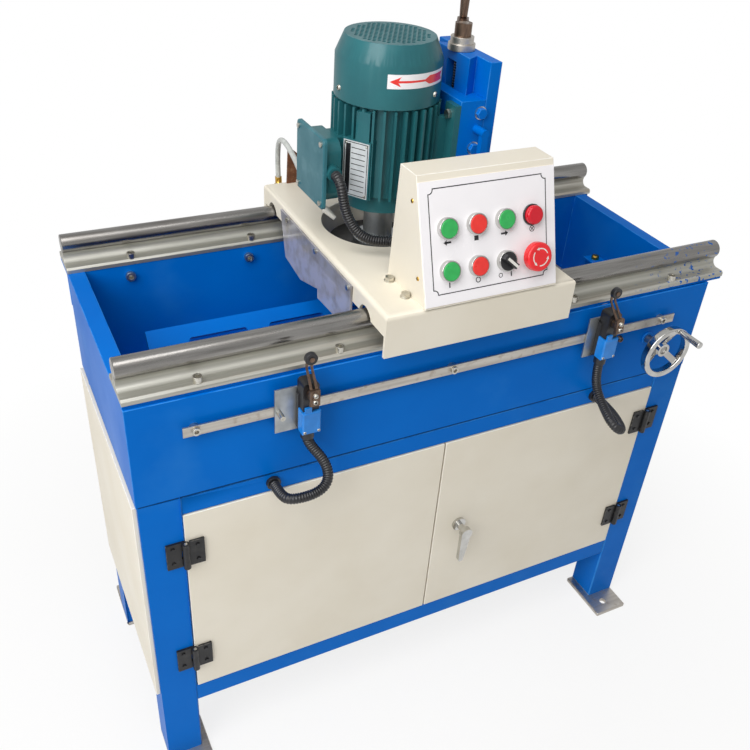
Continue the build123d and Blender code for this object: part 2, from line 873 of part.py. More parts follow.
# Screws of the rails, the limit bar and the rear bearer
screws = []
screw_count = int(rail_length / rail_screw_pitch)
for rail_y in (front_rail_y, rear_rail_y):
    for step in range(1, screw_count):
        x = rail_left + rail_screw_pitch * step
        side = -1 if step % 2 else 1
        flange_z = seat_z + support_flange
        screws.append(socket_z(x, rail_y + side * rail_screw_offset, flange_z,
                               flange_z + rail_screw_height, rail_screw_radius))
bar_screw_places = (bar_left_screw - bar_half_length, -bar_middle_shift, bar_half_length - bar_right_screw)
bar_screw_radius = bar_height / 2 - 2
for x in bar_screw_places:
    screws.append(socket_y(x, bar_front - bar_screw_height, bar_front, bar_z, bar_screw_radius))
bolt_front = half_y - trough_sheet
nut_back = rack_front + angle_nut_height
bolt_head = 2 * angle_bolt_radius
for x in angle_bolt_places:
    bolt = socket_y(x, bolt_front - bolt_head, bolt_front, angle_bolt_z, bolt_head)
    bolt += rod_y(x, bolt_front, nut_back + bracket_thickness, angle_bolt_z, angle_bolt_radius)
    screws.append(bolt)
    nut = extrude(RegularPolygon(1.7 * angle_bolt_radius, 6, major_radius=False), angle_nut_height)
    screws.append(Pos(x, nut_back, angle_bolt_z) * Rot(90, 0, 0) * nut
                  - rod_y(x, rack_front, nut_back, angle_bolt_z, angle_bolt_radius + running))
save("rail_screws", *screws)

# Limit bar on its spacers, with the two switch brackets clamped to it
bar_parts = [block(-bar_half_length, bar_half_length, bar_front, bar_back, bar_z - bar_height / 2,
                   bar_z + bar_height / 2)]
for x in bar_screw_places:
    bar_parts.append(rod_y(x, bar_back, -half_y, bar_z, bar_screw_radius + 1))
switches = ((left_switch_x, left_bracket_reach, 0), (right_switch_x, right_bracket_reach, right_lever_tilt))
bracket_low = switch_low - bracket_screw_inset
for switch_x, reach, tilt in switches:
    bar_parts.append(block(switch_x - reach, switch_x + switch_width / 2, bracket_front, bar_front,
                           bracket_low, bracket_low + switch_bracket_height))
bracket_screw_x = left_switch_x - left_bracket_reach + bracket_screw_inset
bar_parts.append(rod_y(bracket_screw_x, bracket_front - bracket_screw_length, bracket_front, bar_z,
                       bracket_screw_radius))
save("limit_bar", *bar_parts)

# Limit switches: base with head, cable gland, cover with a tongue, set-back lever and roller
lever_front = cover_front - lever_front_gap
lever_back = lever_front + lever_thickness
arm_front = lever_front + lever_setback
arm_back = lever_back + lever_setback
roller_z = lever_pivot_z + lever_arm
roller_back = arm_front - small_gap
roller_front = roller_back - roller_width
rivet_back = roller_front - small_gap
hub_face = lever_front - lever_hub_proud
stud_back = bracket_front - lever_hub_proud
bodies = []
covers = []
levers = []
rollers = []
for switch_x, reach, tilt in switches:
    half = switch_width / 2
    body = block(switch_x - half, switch_x + half, base_front, bracket_front, switch_low,
                 switch_low + switch_base_height)
    head_half = switch_head_width / 2
    head = block(switch_x - head_half, switch_x + head_half, head_front, bracket_front, head_low,
                 head_low + switch_head_height)
    head = fillet(head.edges().filter_by(Axis.Y).group_by(Axis.Z)[-1], switch_head_round)
    body += head
    body -= rod_y(switch_x, head_front, stud_back, lever_pivot_z, lever_pivot_radius + running)
    gland = rod_z(switch_x, switch_mid_y, switch_low - gland_length, switch_low, gland_radius - 1)
    gland -= rod_z(switch_x, switch_mid_y, switch_low - gland_length, switch_low, conduit_bore)
    bodies += [body, gland]
    cover = block(switch_x - half, switch_x + half, cover_front, base_front, switch_low, cover_high)
    cover = chamfer(cover.edges().group_by(Axis.Y)[0], 2)
    cover += block(switch_x - switch_tongue_width, switch_x, cover_front + 1, head_front - small_gap,
                   cover_high - 4, cover_high + switch_tongue_height)
    covers.append(cover)
    band = prism_x([(lever_front, lever_pivot_z - lever_foot), (lever_front, lever_pivot_z + lever_low_bend),
                    (arm_front, lever_pivot_z + lever_high_bend), (arm_front, roller_z + lever_half_high),
                    (arm_back, roller_z + lever_half_high), (arm_back, lever_pivot_z + lever_high_bend),
                    (lever_back, lever_pivot_z + lever_low_bend), (lever_back, lever_pivot_z - lever_foot)],
                   switch_x - lever_half_low, switch_x + lever_half_low)
    outline = prism_y([(switch_x - lever_half_low, lever_pivot_z - lever_foot),
                       (switch_x + lever_half_low, lever_pivot_z - lever_foot),
                       (switch_x + lever_half_high, roller_z), (switch_x - lever_half_high, roller_z)],
                      lever_front, arm_back)
    outline += rod_y(switch_x, lever_front, arm_back, roller_z, lever_half_high)
    arm = band & outline
    arm -= block(switch_x - lever_slot_half, switch_x + lever_slot_half, lever_front, arm_back,
                 lever_pivot_z + lever_low_bend, roller_z - roller_radius)
    arm += rod_y(switch_x, hub_face, head_front - small_gap, lever_pivot_z, lever_hub_radius)
    arm += rod_y(switch_x, hub_face - lever_hub_proud, hub_face, lever_pivot_z, lever_nut_radius)
    arm += rod_y(switch_x, hub_face, stud_back, lever_pivot_z, lever_pivot_radius)
    arm += rod_y(switch_x, rivet_back, arm_back, roller_z, roller_pin_radius)
    arm += rod_y(switch_x, rivet_back - 1, rivet_back, roller_z, roller_rivet_radius)
    roller = rod_y(switch_x, roller_front, roller_back, roller_z, roller_radius)
    roller = fillet(roller.edges().filter_by(GeomType.CIRCLE), 1)
    roller -= rod_y(switch_x, roller_front, roller_back, roller_z, roller_pin_radius + running)
    turn = Pos(switch_x, 0, lever_pivot_z) * Rot(0, -tilt, 0) * Pos(-switch_x, 0, -lever_pivot_z)
    levers.append(turn * arm)
    rollers.append(turn * roller)
grommets = []
for side in (-1, 1):
    grommet = rod_y(side * conduit_hole_x, -half_y - grommet_length, -half_y, conduit_hole_z, gland_radius)
    grommet -= rod_y(side * conduit_hole_x, -half_y - grommet_length, -half_y, conduit_hole_z, conduit_bore)
    grommets.append(grommet)
save("switch_bodies", *bodies, *grommets)
save("switch_covers", *covers)
save("left_limit_lever", levers[0])
save("right_limit_lever", levers[1])
save("left_limit_roller", rollers[0])
save("right_limit_roller", rollers[1])
save("left_conduit", ribbed_hose("left_conduit", left_conduit_route))
save("right_conduit", ribbed_hose("right_conduit", right_conduit_route))

# Knife bed: slotted plate on ribs, turning on its shaft
tilt_angle = math.radians(bed_angle)
bed_plane = Plane(origin=(0, bed_y, bed_z), x_dir=(1, 0, 0),
                  z_dir=(0, -math.sin(tilt_angle), math.cos(tilt_angle)))
bed = block(bed_left, bed_right, -bed_half_width, bed_half_width, bed_standoff,
            bed_standoff + bed_thickness)
for step in range(bed_slot_count):
    middle = bed_slot_first + step * bed_slot_pitch
    slot = block(middle - bed_slot_length / 2, middle + bed_slot_length / 2, bed_slot_low, bed_slot_high,
                 bed_standoff, bed_standoff + bed_thickness)
    bed -= fillet(slot.edges().filter_by(Axis.Z), bed_slot_round)
for step in range(bed_slot_count + 1):
    rib_x = bed_slot_first + (step - 0.5) * bed_slot_pitch
    rib_half = bed_rib_thickness / 2
    bed += block(rib_x - rib_half, rib_x + rib_half, -bed_collar_radius, bed_collar_radius, 0, bed_standoff)
    bed += rod_x(rib_x - 2 * rib_half, rib_x + 2 * rib_half, 0, 0, bed_collar_radius)
bed -= rod_x(bed_left, bed_right, 0, 0, bed_shaft_radius + running)
save("knife_bed", bed_plane * bed)

shaft_end = pillow_x + pillow_thickness / 2 + 4
bed_shaft = rod_x(-shaft_end, shaft_end, bed_y, bed_z, bed_shaft_radius)
worm_wheel = extrude(gear_face(worm_wheel_teeth), worm_wheel_width)
worm_wheel = Pos(worm_x - worm_wheel_width / 2, bed_y, bed_z) * Rot(0, 90, 0) * worm_wheel
save("bed_shaft", bed_shaft + worm_wheel)

# Worm shaft, handwheel with three spokes, and its revolving grip
worm_near = bed_y - worm_bracket_span / 2
worm_far = bed_y + worm_bracket_span / 2
rim_back = wheel_rim_front + wheel_rim_depth
hub_front = wheel_rim_front + wheel_hub_recess
hub_back = hub_front + wheel_hub_length
worm_shaft = rod_y(worm_x, hub_front + 2, worm_far + worm_bracket_plate + 4, worm_z, worm_shaft_radius)
save("worm_shaft", worm_shaft)
rim_mid_y = (wheel_rim_front + rim_back) / 2
rim_mid_radius = wheel_rim_radius - wheel_rim_thickness / 2
rim = rod_y(worm_x, wheel_rim_front, rim_back, worm_z, wheel_rim_radius)
rim -= rod_y(worm_x, wheel_rim_front, rim_back, worm_z, wheel_rim_radius - wheel_rim_thickness)
rim = fillet(rim.edges().filter_by(GeomType.CIRCLE), wheel_rim_round)
handwheel = rod_y(worm_x, hub_front, hub_back, worm_z, wheel_hub_radius) + rim
for turn in range(3):
    angle = math.radians(wheel_grip_angle + wheel_spoke_turn + turn * 120)
    away = Vector(math.cos(angle), 0, math.sin(angle))
    start = Vector(worm_x, (hub_front + hub_back) / 2, worm_z) + away * (wheel_hub_radius - 3)
    end = Vector(worm_x, rim_mid_y, worm_z) + away * rim_mid_radius
    reach = (end - start).length
    spoke = Pos(0, 0, reach / 2) * Box(2 * wheel_spoke_half, wheel_spoke_thickness, reach)
    across = Vector(-away.Z, 0, away.X)
    handwheel += Plane(origin=start, x_dir=across, z_dir=end - start) * spoke
handwheel -= rod_y(worm_x, hub_front, hub_back, worm_z, worm_shaft_radius + running / 2)
grip_x = worm_x + rim_mid_radius * math.cos(math.radians(wheel_grip_angle))
grip_z = worm_z + rim_mid_radius * math.sin(math.radians(wheel_grip_angle))
grip_back = wheel_rim_front - 1
grip_tip = grip_back - wheel_grip_length
handwheel += rod_y(grip_x, grip_tip + 4, rim_back, grip_z, grip_pin)
save("handwheel", handwheel)
grip = Pos(grip_x, (grip_back + grip_tip) / 2, grip_z) * Rot(90, 0, 0) * Cone(
    wheel_grip_radius - wheel_grip_taper, wheel_grip_radius, wheel_grip_length)
grip = fillet(grip.edges().filter_by(GeomType.CIRCLE), 2)
grip -= rod_y(grip_x, grip_tip + 3, grip_back, grip_z, grip_pin + running)
save("handwheel_grip", grip)

# Pillow blocks with their oil cups, worm bracket, shaft bush in the front wall
pillows = []
cups = []
for side in (-1, 1):
    x0 = side * pillow_x - pillow_thickness / 2
    x1 = side * pillow_x + pillow_thickness / 2
    pillow = block(x0, x1, bed_y - pillow_half_width, bed_y + pillow_half_width, trough_floor, bed_z)
    pillow += rod_x(x0, x1, bed_y, bed_z, bed_shaft_radius + pillow_wall)
    pad_top = bed_z + pillow_pad_lift
    pillow += block(x0, x1, bed_y - pillow_pad_half, bed_y + pillow_pad_half, bed_z, pad_top)
    pillow += block(side * pillow_x - pillow_pad_half, side * pillow_x + pillow_pad_half,
                    bed_y - pillow_pad_half, bed_y + pillow_pad_half, pad_top - pillow_pad_thickness, pad_top)
    pillows.append(pillow - rod_x(x0, x1, bed_y, bed_z, bed_shaft_radius + running))
    cup = rod_z(side * pillow_x, bed_y, pad_top, pad_top + oil_cup_height, oil_cup_radius)
    cups.append(fillet(cup.edges().group_by(Axis.Z)[-1], oil_cup_radius / 2))
bracket_left = worm_x - worm_bracket_half
bracket_right = worm_x + worm_bracket_half
bracket = block(bracket_left, bracket_right, worm_near - worm_bracket_plate,
                worm_far + worm_bracket_plate, trough_floor, trough_floor + worm_bracket_base)
for y0 in (worm_near - worm_bracket_plate, worm_far):
    bracket += block(bracket_left, bracket_right, y0, y0 + worm_bracket_plate, trough_floor, worm_z)
    bracket += rod_y(worm_x, y0, y0 + worm_bracket_plate, worm_z, worm_bracket_half)
bracket -= rod_y(worm_x, worm_near - worm_bracket_plate, worm_far + worm_bracket_plate, worm_z,
                 worm_shaft_radius + running)
bush_front = -half_y - bush_length
bush = rod_y(worm_x, bush_front, -half_y, worm_z, worm_shaft_radius + bush_wall)
bush += rod_y(worm_x, -half_y, -half_y + trough_sheet, worm_z, worm_shaft_radius + sheet)
bush -= rod_y(worm_x, bush_front, -half_y + trough_sheet, worm_z, worm_shaft_radius + running)
save("bed_supports", *pillows, *cups, bracket, bush)

# Coolant tank with its pump and drain pipe, inside the cabinet
tank_low = low_tube_top + sheet
tank_high = tank_low + tank_height
tank_left = tank_inset - leg_in_x
tank_right = tank_left + tank_length
tank_rear = tank_front + tank_depth
tank = block(tank_left, tank_right, tank_front, tank_rear, tank_low, tank_high)
tank -= block(tank_left + sheet, tank_right - sheet, tank_front + sheet, tank_rear - sheet,
              tank_low + sheet, tank_high)
pump_x = tank_left + pump_inset
pump_low = tank_high + pump_plate
lid_half = pump_radius + 5
pump_lid = block(pump_x - lid_half, pump_x + lid_half, tank_front, tank_rear, tank_high, pump_low)
pump = rod_z(pump_x, pump_y, pump_low, tank_high + pump_height, pump_radius)
suction = rod_z(pump_x, pump_y, tank_low + 10 * sheet, tank_high, 0.7 * pump_radius)
drain_low = tank_high - 10 * sheet
drain = rod_z(drain_x, 0, drain_low, trough_low, drain_radius)
drain -= rod_z(drain_x, 0, drain_low, trough_low, drain_radius - sheet)
save("coolant_unit", tank, pump_lid, pump, suction, drain)

# Electrics plate between the rear tubes, with contactors over relays
plate_back = half_y - rail_tube_depth
plate_front = plate_back - 2 * sheet
electrics = [block(plate_left, plate_left + plate_length, plate_front, plate_back,
                   low_tube_top + sheet, top_tube_low + rail_tube_depth / 4)]
contactor_low = (low_tube_top + top_tube_low) / 2
for column_step in range(4):
    x0 = plate_left + device_column * (column_step + 0.3)
    electrics.append(block(x0, x0 + device_width, plate_front - contactor_height, plate_front,
                           contactor_low, contactor_low + contactor_height))
    electrics.append(block(x0, x0 + device_width, plate_front - relay_height, plate_front,
                           contactor_low - 2 * relay_height, contactor_low - relay_height))
save("electrics_plate", *electrics)

# Carriage plate: folded skirts, half-round notches over the rails, hole for the wheel
skirt_low = deck_top - skirt_drop
side_low = deck_top - side_drop
deck = block(deck_left, deck_right, deck_front, deck_rear, skirt_low, deck_top)
deck = fillet(deck.edges().group_by(Axis.Z)[-1], deck_bend)
inside = block(deck_left + deck_sheet, deck_right - deck_sheet, deck_front + deck_sheet,
               deck_rear - deck_sheet, skirt_low, deck_low)
deck -= fillet(inside.edges().group_by(Axis.Z)[-1], deck_bend - deck_sheet)
deck -= block(deck_left, deck_right, deck_front + deck_sheet, deck_rear - deck_sheet, skirt_low, side_low)
for rail_y in (front_rail_y, rear_rail_y):
    deck -= rod_x(deck_left, deck_right, rail_y, shaft_z, notch_radius)
deck -= rod_z(motor_x, head_y, deck_low, deck_top, wheel_hole_radius)
bearings = []
bolts = []
for rail_y, inset in ((front_rail_y, bearing_inset), (rear_rail_y, rear_bearing_inset)):
    for x in (deck_left + inset, deck_right - inset):
        body = block(x - bearing_half, x + bearing_half, rail_y - bearing_half, rail_y + bearing_half,
                     bearing_low, deck_low)
        body -= rod_x(x - bearing_half, x + bearing_half, rail_y, shaft_z, shaft_radius + running)
        body -= block(x - bearing_half, x + bearing_half, rail_y - bearing_slot_half,
                      rail_y + bearing_slot_half, bearing_low, shaft_z)
        for bx in (x - bearing_bolt_half, x + bearing_bolt_half):
            for by in (rail_y - bearing_bolt_half, rail_y + bearing_bolt_half):
                body -= rod_z(bx, by, deck_low - deck_bolt_depth - 2, deck_low, deck_bolt_radius + running)
                deck -= rod_z(bx, by, deck_low, deck_top, deck_bolt_radius + small_gap)
                bolt = rod_z(bx, by, deck_low - deck_bolt_depth, deck_top, deck_bolt_radius)
                flange_top = deck_top + deck_flange_height
                bolt += rod_z(bx, by, deck_top, flange_top, deck_flange_radius)
                bolts.append(bolt + hex_z(bx, by, flange_top, flange_top + deck_head_height, deck_head_radius))
        bearings.append(body)
save("carriage_plate", deck)
save("bearing_blocks", *bearings)
save("carriage_bolts", *bolts)

# Clear splash guards on both sides, each held by three screws
guard_high = deck_top - deck_bend - 1
guard_rear = deck_rear - guard_inset
guard_front = guard_rear - guard_length
guard_outline = [(guard_rear, guard_high)]
for back, drop in ((24, 87), (93, 96), (163, 76), (164, 92), (guard_length, 84)):
    guard_outline.append((guard_rear - back, deck_top - drop))
guard_outline.append((guard_front, guard_high))
guard_face = deck_right + guard_sheet
guard_pieces = [prism_x(guard_outline, deck_right, guard_face)]
for share in (0.118, 0.539, 0.968):
    guard_pieces.append(rod_x(guard_face, guard_face + guard_screw_height, guard_rear - share * guard_length,
                              guard_high - guard_screw_drop, guard_screw_radius))
to_left = Plane(origin=((deck_left + deck_right) / 2, 0, 0), z_dir=(1, 0, 0))
left_guard = [mirror(piece, about=to_left) for piece in guard_pieces]
save("splash_guards", *guard_pieces, *left_guard)

ring_inner = wheel_hole_radius + guard_ring_gap
ring = rod_z(motor_x, head_y, deck_low - guard_ring_height, deck_low, ring_inner + guard_ring_wall)
ring -= rod_z(motor_x, head_y, deck_low - guard_ring_height, deck_low, ring_inner)
save("wheel_guard", ring)

# Control box: folded sheet with a sloping front, open underneath
front_slope = (box_top_front - box_front) / box_height
rear_slope = (box_top_rear - box_rear) / box_height
panel_normal = Vector(0, -box_height, box_top_front - box_front).normalized()
panel_plane = Plane(origin=(0, box_front, box_low), x_dir=(1, 0, 0), z_dir=panel_normal)
wall_run = box_wall / abs(panel_normal.Y)
shell_low = box_low - 10
shell_high = box_high - box_wall


def front_at(z):
    return box_front + front_slope * (z - box_low)


def rear_at(z):
    return box_rear + rear_slope * (z - box_low)


box_outline = [(box_front, box_low), (box_rear, box_low), (box_top_rear, box_high), (box_top_front, box_high)]
shell_outline = [(front_at(shell_low) + wall_run, shell_low), (rear_at(shell_low) - wall_run, shell_low),
                 (rear_at(shell_high) - wall_run, shell_high), (front_at(shell_high) + wall_run, shell_high)]
case = prism_x(box_outline, box_left, box_right)
case -= prism_x(shell_outline, box_left + box_wall, box_right - box_wall)
gland_wall = rear_at(box_gland_z)
case -= rod_y(box_gland_x, gland_wall - 3 * box_wall, gland_wall + 3 * box_wall, box_gland_z, conduit_root)
plate = block(box_left + plate_margin, box_right - plate_margin, plate_low, plate_high, 0, plate_thickness)
devices = []
for step in range(4):
    devices.append((device_first_x + step * device_pitch, upper_row))
for step in range(4):
    devices.append((device_first_x + step * device_pitch, lower_row))
for x, v in devices:
    hole = rod_z(x, v, -2 * box_wall, plate_thickness, device_hole)
    plate -= hole
    case -= panel_plane * hole
save("control_box", case)
save("control_panel", panel_plane * plate)

# Bezels, barrels and contact blocks of the eight devices, with the lamp's lens
bezels = []
barrel_inner = button_radius + small_gap
barrel_back = -barrel_length - barrel_end
cap_front = plate_thickness + bezel_height + button_proud
cap_back = -button_depth
recess_floor = cap_front - button_head - button_travel - small_gap
recess_radius = button_head_radius + small_gap
lamp_step = 3
stop_step = 7
for step, (x, v) in enumerate(devices):
    height = low_bezel_height if step in (lamp_step, stop_step) else bezel_height
    bezel = rod_z(x, v, plate_thickness, plate_thickness + height, bezel_radius)
    bezel = fillet(bezel.edges().group_by(Axis.Z)[-1], 1)
    bezel += rod_z(x, v, -barrel_length, plate_thickness, device_hole - small_gap)
    bezel -= rod_z(x, v, -barrel_length, recess_floor, barrel_inner)
    bezel -= rod_z(x, v, recess_floor, plate_thickness + height, recess_radius)
    bezel += rod_z(x, v, barrel_back, -barrel_length, device_hole - small_gap)
    bezels.append(panel_plane * bezel)
    half = contact_block / 2
    contact = block(x - half, x + half, v - half, v + half, barrel_back - contact_block, barrel_back)
    bezels.append(panel_plane * contact)
lamp_x, lamp_v = devices[lamp_step]
lens = rod_z(lamp_x, lamp_v, recess_floor, plate_thickness + lamp_height, recess_radius)
lens = fillet(lens.edges().group_by(Axis.Z)[-1], 4)
lens += rod_z(lamp_x, lamp_v, -barrel_length, recess_floor, barrel_inner)
bezels.append(panel_plane * lens)
gland_face = gland_wall - box_wall
box_gland = rod_y(box_gland_x, gland_face, box_gland_end, box_gland_z, gland_radius)
box_gland -= rod_y(box_gland_x, gland_face, box_gland_end, box_gland_z, conduit_bore)
box_gland -= prism_x([(rear_at(box_low), box_low), (rear_at(box_high), box_high), (box_front, box_high),
                      (box_front, box_low)], box_left, box_right)
save("button_bezels", *bezels, box_gland)

button_names = ["travel_left_button", "travel_stop_button", "travel_right_button",
                "wheel_start_button", "wheel_stop_button"]
button_steps = [0, 1, 2, 4, 5]
for name, step in zip(button_names, button_steps):
    x, v = devices[step]
    cap = rod_z(x, v, cap_front - button_head, cap_front, button_head_radius)
    cap = fillet(cap.edges().group_by(Axis.Z)[-1], 1.5)
    save(name, panel_plane * (cap + rod_z(x, v, cap_back, cap_front - button_head, button_radius)))
knob_x, knob_v = devices[6]
knob_front = plate_thickness + bezel_height
knob = rod_z(knob_x, knob_v, cap_back, knob_front, button_radius)
knob += rod_z(knob_x, knob_v, cap_front - button_head, knob_front, button_head_radius)
knob_reach = button_head_radius - 0.5
knob_bar = block(-knob_reach, knob_reach, -knob_bar_half, knob_bar_half, 0, knob_bar_height)
knob += Pos(knob_x, knob_v, knob_front) * Rot(0, 0, knob_angle) * knob_bar
save("selector_knob", panel_plane * knob)
stop_x, stop_v = devices[stop_step]
stop_low = plate_thickness + low_bezel_height + stop_travel + small_gap
stop_head = rod_z(stop_x, stop_v, stop_low, stop_low + stop_head_height, stop_head_radius)
stop_head = fillet(stop_head.edges().group_by(Axis.Z)[-1], 4)
stop_head += rod_z(stop_x, stop_v, cap_back + 0.5, stop_low, button_radius)
save("estop_button", panel_plane * stop_head)

# Column with its dovetail way, slotted for the feed nut
column = block(column_left, column_right, column_front, column_rear, deck_top, column_top)
way = [(way_left, head_y - way_half_outer), (way_left, head_y + way_half_outer),
       (column_left, head_y + way_half_inner), (column_left, head_y - way_half_inner)]
way_face = make_face(Polyline(*[(x, y, deck_top) for x, y in way], close=True))
column += extrude(way_face, column_height, dir=(0, 0, 1))
column -= block(way_left, way_left + way_slot_depth, head_y - way_slot_half, head_y + way_slot_half,
                deck_top + screw_bridge, column_top - screw_bridge)
column -= rod_z(feed_screw_x, head_y, deck_top + 5, column_top, feed_screw_radius + running)
save("column", column)

# Slide block with the feed nut and gib screws
slide = block(block_left, block_right, column_front, column_rear, block_low, block_high)
groove_left = way_left - way_clearance
groove_outer = way_half_outer + way_clearance
groove_inner = way_half_inner + way_clearance
groove = [(groove_left, head_y - groove_outer), (groove_left, head_y + groove_outer),
          (column_left, head_y + groove_inner), (column_left, head_y - groove_inner)]
groove_face = make_face(Polyline(*[(x, y, block_low) for x, y in groove], close=True))
slide -= extrude(groove_face, block_height, dir=(0, 0, 1))
feed_nut_high = feed_nut_low + feed_nut_height
feed_nut_right = feed_screw_x + feed_screw_radius + bracket_thickness
slide += block(groove_left - 1, feed_nut_right, head_y - feed_nut_half, head_y + feed_nut_half,
               feed_nut_low, feed_nut_high)
slide -= rod_z(feed_screw_x, head_y, feed_nut_low, feed_nut_high, feed_screw_radius + running)
stud_end = column_front + 2 * clamp_stud_radius
slide -= rod_y(clamp_x, column_front, stud_end + 1, clamp_z, clamp_stud_radius + running)
foot_bolt_places = []
for side in (-1, 1):
    for z in (foot_bolt_low, foot_bolt_high):
        foot_bolt_places.append((head_y + side * foot_bolt_half, z))
bolt_end = block_left + 4 * foot_bolt_radius
for y, z in foot_bolt_places:
    slide -= rod_x(block_left, bolt_end, y, z, foot_bolt_radius + running)
gibs = []
for dx, dz in ((4, 24), (-2, -30), (-2, -68)):
    gib = extrude(RegularPolygon(gib_radius, 6, major_radius=False), gib_height)
    gibs.append(Pos(clamp_x + dx, column_front, clamp_z + dz) * Rot(90, 0, 0) * gib)
save("slide_block", slide, *gibs)

# Clamp lever on the front of the slide block
clamp_front = column_front - clamp_reach
clamp = rod_y(clamp_x, clamp_front, column_front - small_gap, clamp_z, clamp_hub_radius)
clamp += rod_y(clamp_x, clamp_front, stud_end, clamp_z, clamp_stud_radius)
clamp_back = clamp_front + 2 * clamp_stud_radius
clamp_low = clamp_z - clamp_arm
clamp += prism_y([(clamp_x - clamp_stud_radius, clamp_z), (clamp_x + clamp_stud_radius, clamp_z),
                  (clamp_x + clamp_hub_radius, clamp_low), (clamp_x - clamp_hub_radius, clamp_low)],
                 clamp_front, clamp_back)
clamp += rod_y(clamp_x, clamp_front, clamp_back, clamp_low, clamp_hub_radius)
save("clamp_lever", clamp)

# Feed screw with its two-step collar, crank and revolving grip
screw = rod_z(feed_screw_x, head_y, deck_top + 7, column_top + small_gap, feed_screw_radius)
collar_mid = column_top + collar_height / 2
screw_top = column_top + collar_height
screw += rod_z(feed_screw_x, head_y, column_top + small_gap, collar_mid, collar_radius)
screw += rod_z(feed_screw_x, head_y, collar_mid, screw_top, collar_radius - collar_step)
hub_top = screw_top + crank_hub_height
arm_top = hub_top + crank_plate
screw += rod_z(feed_screw_x, head_y, screw_top, arm_top, feed_screw_radius)
save("feed_screw", screw)
crank_turn = math.radians(crank_angle)
crank_x = feed_screw_x + crank_arm * math.cos(crank_turn)
crank_y = head_y + crank_arm * math.sin(crank_turn)
crank = rod_z(feed_screw_x, head_y, screw_top, arm_top, crank_hub_radius)
crank_bar = block(0, crank_arm, -crank_boss_radius + 1, crank_boss_radius - 1, hub_top, arm_top)
crank += Pos(feed_screw_x, head_y, 0) * Rot(0, 0, crank_angle) * crank_bar
crank += rod_z(crank_x, crank_y, hub_top, arm_top, crank_boss_radius)
crank += rod_z(crank_x, crank_y, hub_top, arm_top + crank_grip_length - 4, grip_pin)
crank -= rod_z(feed_screw_x, head_y, screw_top, arm_top, feed_screw_radius + running / 2)
save("feed_crank", crank)
crank_grip_low = arm_top + small_gap
crank_bore_top = crank_grip_low + crank_grip_length - grip_pin
crank_grip = Pos(crank_x, crank_y, crank_grip_low + crank_grip_length / 2) * Cone(
    2 * grip_pin, crank_boss_radius - 1, crank_grip_length)
crank_grip = fillet(crank_grip.edges().filter_by(GeomType.CIRCLE), 2)
crank_grip -= rod_z(crank_x, crank_y, crank_grip_low, crank_bore_top, grip_pin + running)
save("crank_grip", crank_grip)

# Motor frame: finned barrel, end shields, side feet with bolts, neck of the terminal box
fin_reach = motor_body_radius + motor_fin_height
fin_low = motor_low + motor_shield_height
fin_high = motor_body_top - motor_top_ring
barrel = rod_z(motor_x, head_y, fin_low, motor_body_top, motor_body_radius)
for step in range(motor_fin_count):
    fin = block(motor_body_radius - motor_fin_height, fin_reach, -motor_fin_width / 2, motor_fin_width / 2,
                fin_low, fin_high)
    barrel += Pos(motor_x, head_y, 0) * Rot(0, 0, (step + 0.5) * 360 / motor_fin_count) * fin
barrel += rod_z(motor_x, head_y, motor_low, fin_low, motor_shield_radius)
lid_seat = cover_radius - cover_sheet - running
spigot_top = motor_body_top + motor_spigot
barrel += rod_z(motor_x, head_y, motor_body_top, spigot_top, lid_seat)
pad_low = block_low + 10
pad_high = block_high - 6
pad_right = block_left
pad_left = pad_right - foot_pad_thickness
for side in (-1, 1):
    pad_mid = head_y + side * foot_bolt_half
    barrel += block(pad_left, pad_right, pad_mid - 15, pad_mid + 14, pad_low, pad_high)
    web_y = head_y + side * (foot_bolt_half - foot_pad_thickness)
    barrel += block(motor_x + motor_body_radius / 2, pad_right - 2, web_y - 5, web_y + 5,
                    pad_low, pad_high - 20)
barrel += block(terminal_right, motor_x - motor_cavity_radius - 4, head_y - terminal_neck_half,
                head_y + terminal_neck_half, terminal_low + 20, terminal_high - 10)
plate_pad_top = fin_low + plate_pad_height
for pad_angle, pad_half, pad_low, pad_high in ((plate_pad_angle, plate_pad_half, fin_low, plate_pad_top),
                                               (side_pad_angle, side_pad_half, plate_pad_top, fin_high - 4)):
    seat = block(motor_cavity_radius + 4, fin_reach, -pad_half, pad_half, pad_low, pad_high)
    barrel += Pos(motor_x, head_y, 0) * Rot(0, 0, pad_angle) * seat
barrel -= rod_z(motor_x, head_y, fin_low + 8, fin_high - 4, motor_cavity_radius)
barrel -= rod_z(motor_x, head_y, motor_low, spigot_top, motor_shaft_radius + running)
motor_bolts = []
for y, z in foot_bolt_places:
    barrel -= rod_x(pad_left, pad_right, y, z, foot_bolt_radius + small_gap)
    bolt = rod_x(pad_left, bolt_end - 1, y, z, foot_bolt_radius)
    motor_bolts.append(bolt + hex_x(pad_left - deck_head_radius, pad_left, y, z, 1.5 * foot_bolt_radius))
save("motor_frame", barrel, *motor_bolts)

# Fan cover: drawn cup with a sloping shoulder and a perforated end
cover_bend = cover_top - cover_shoulder
inner_radius = cover_radius - cover_sheet
cover_profile = [(0, cover_low), (cover_radius, cover_low), (cover_radius, cover_bend),
                 (cover_dish_radius, cover_top), (0, cover_top)]
inner_profile = [(0, cover_low), (inner_radius, cover_low), (inner_radius, cover_bend),
                 (cover_dish_radius - cover_sheet, cover_top - cover_sheet), (0, cover_top - cover_sheet)]


def turned(profile):
    face = make_face(Polyline(*[(r, 0, z) for r, z in profile], close=True))
    return Pos(motor_x, head_y, 0) * revolve(face, Axis.Z)


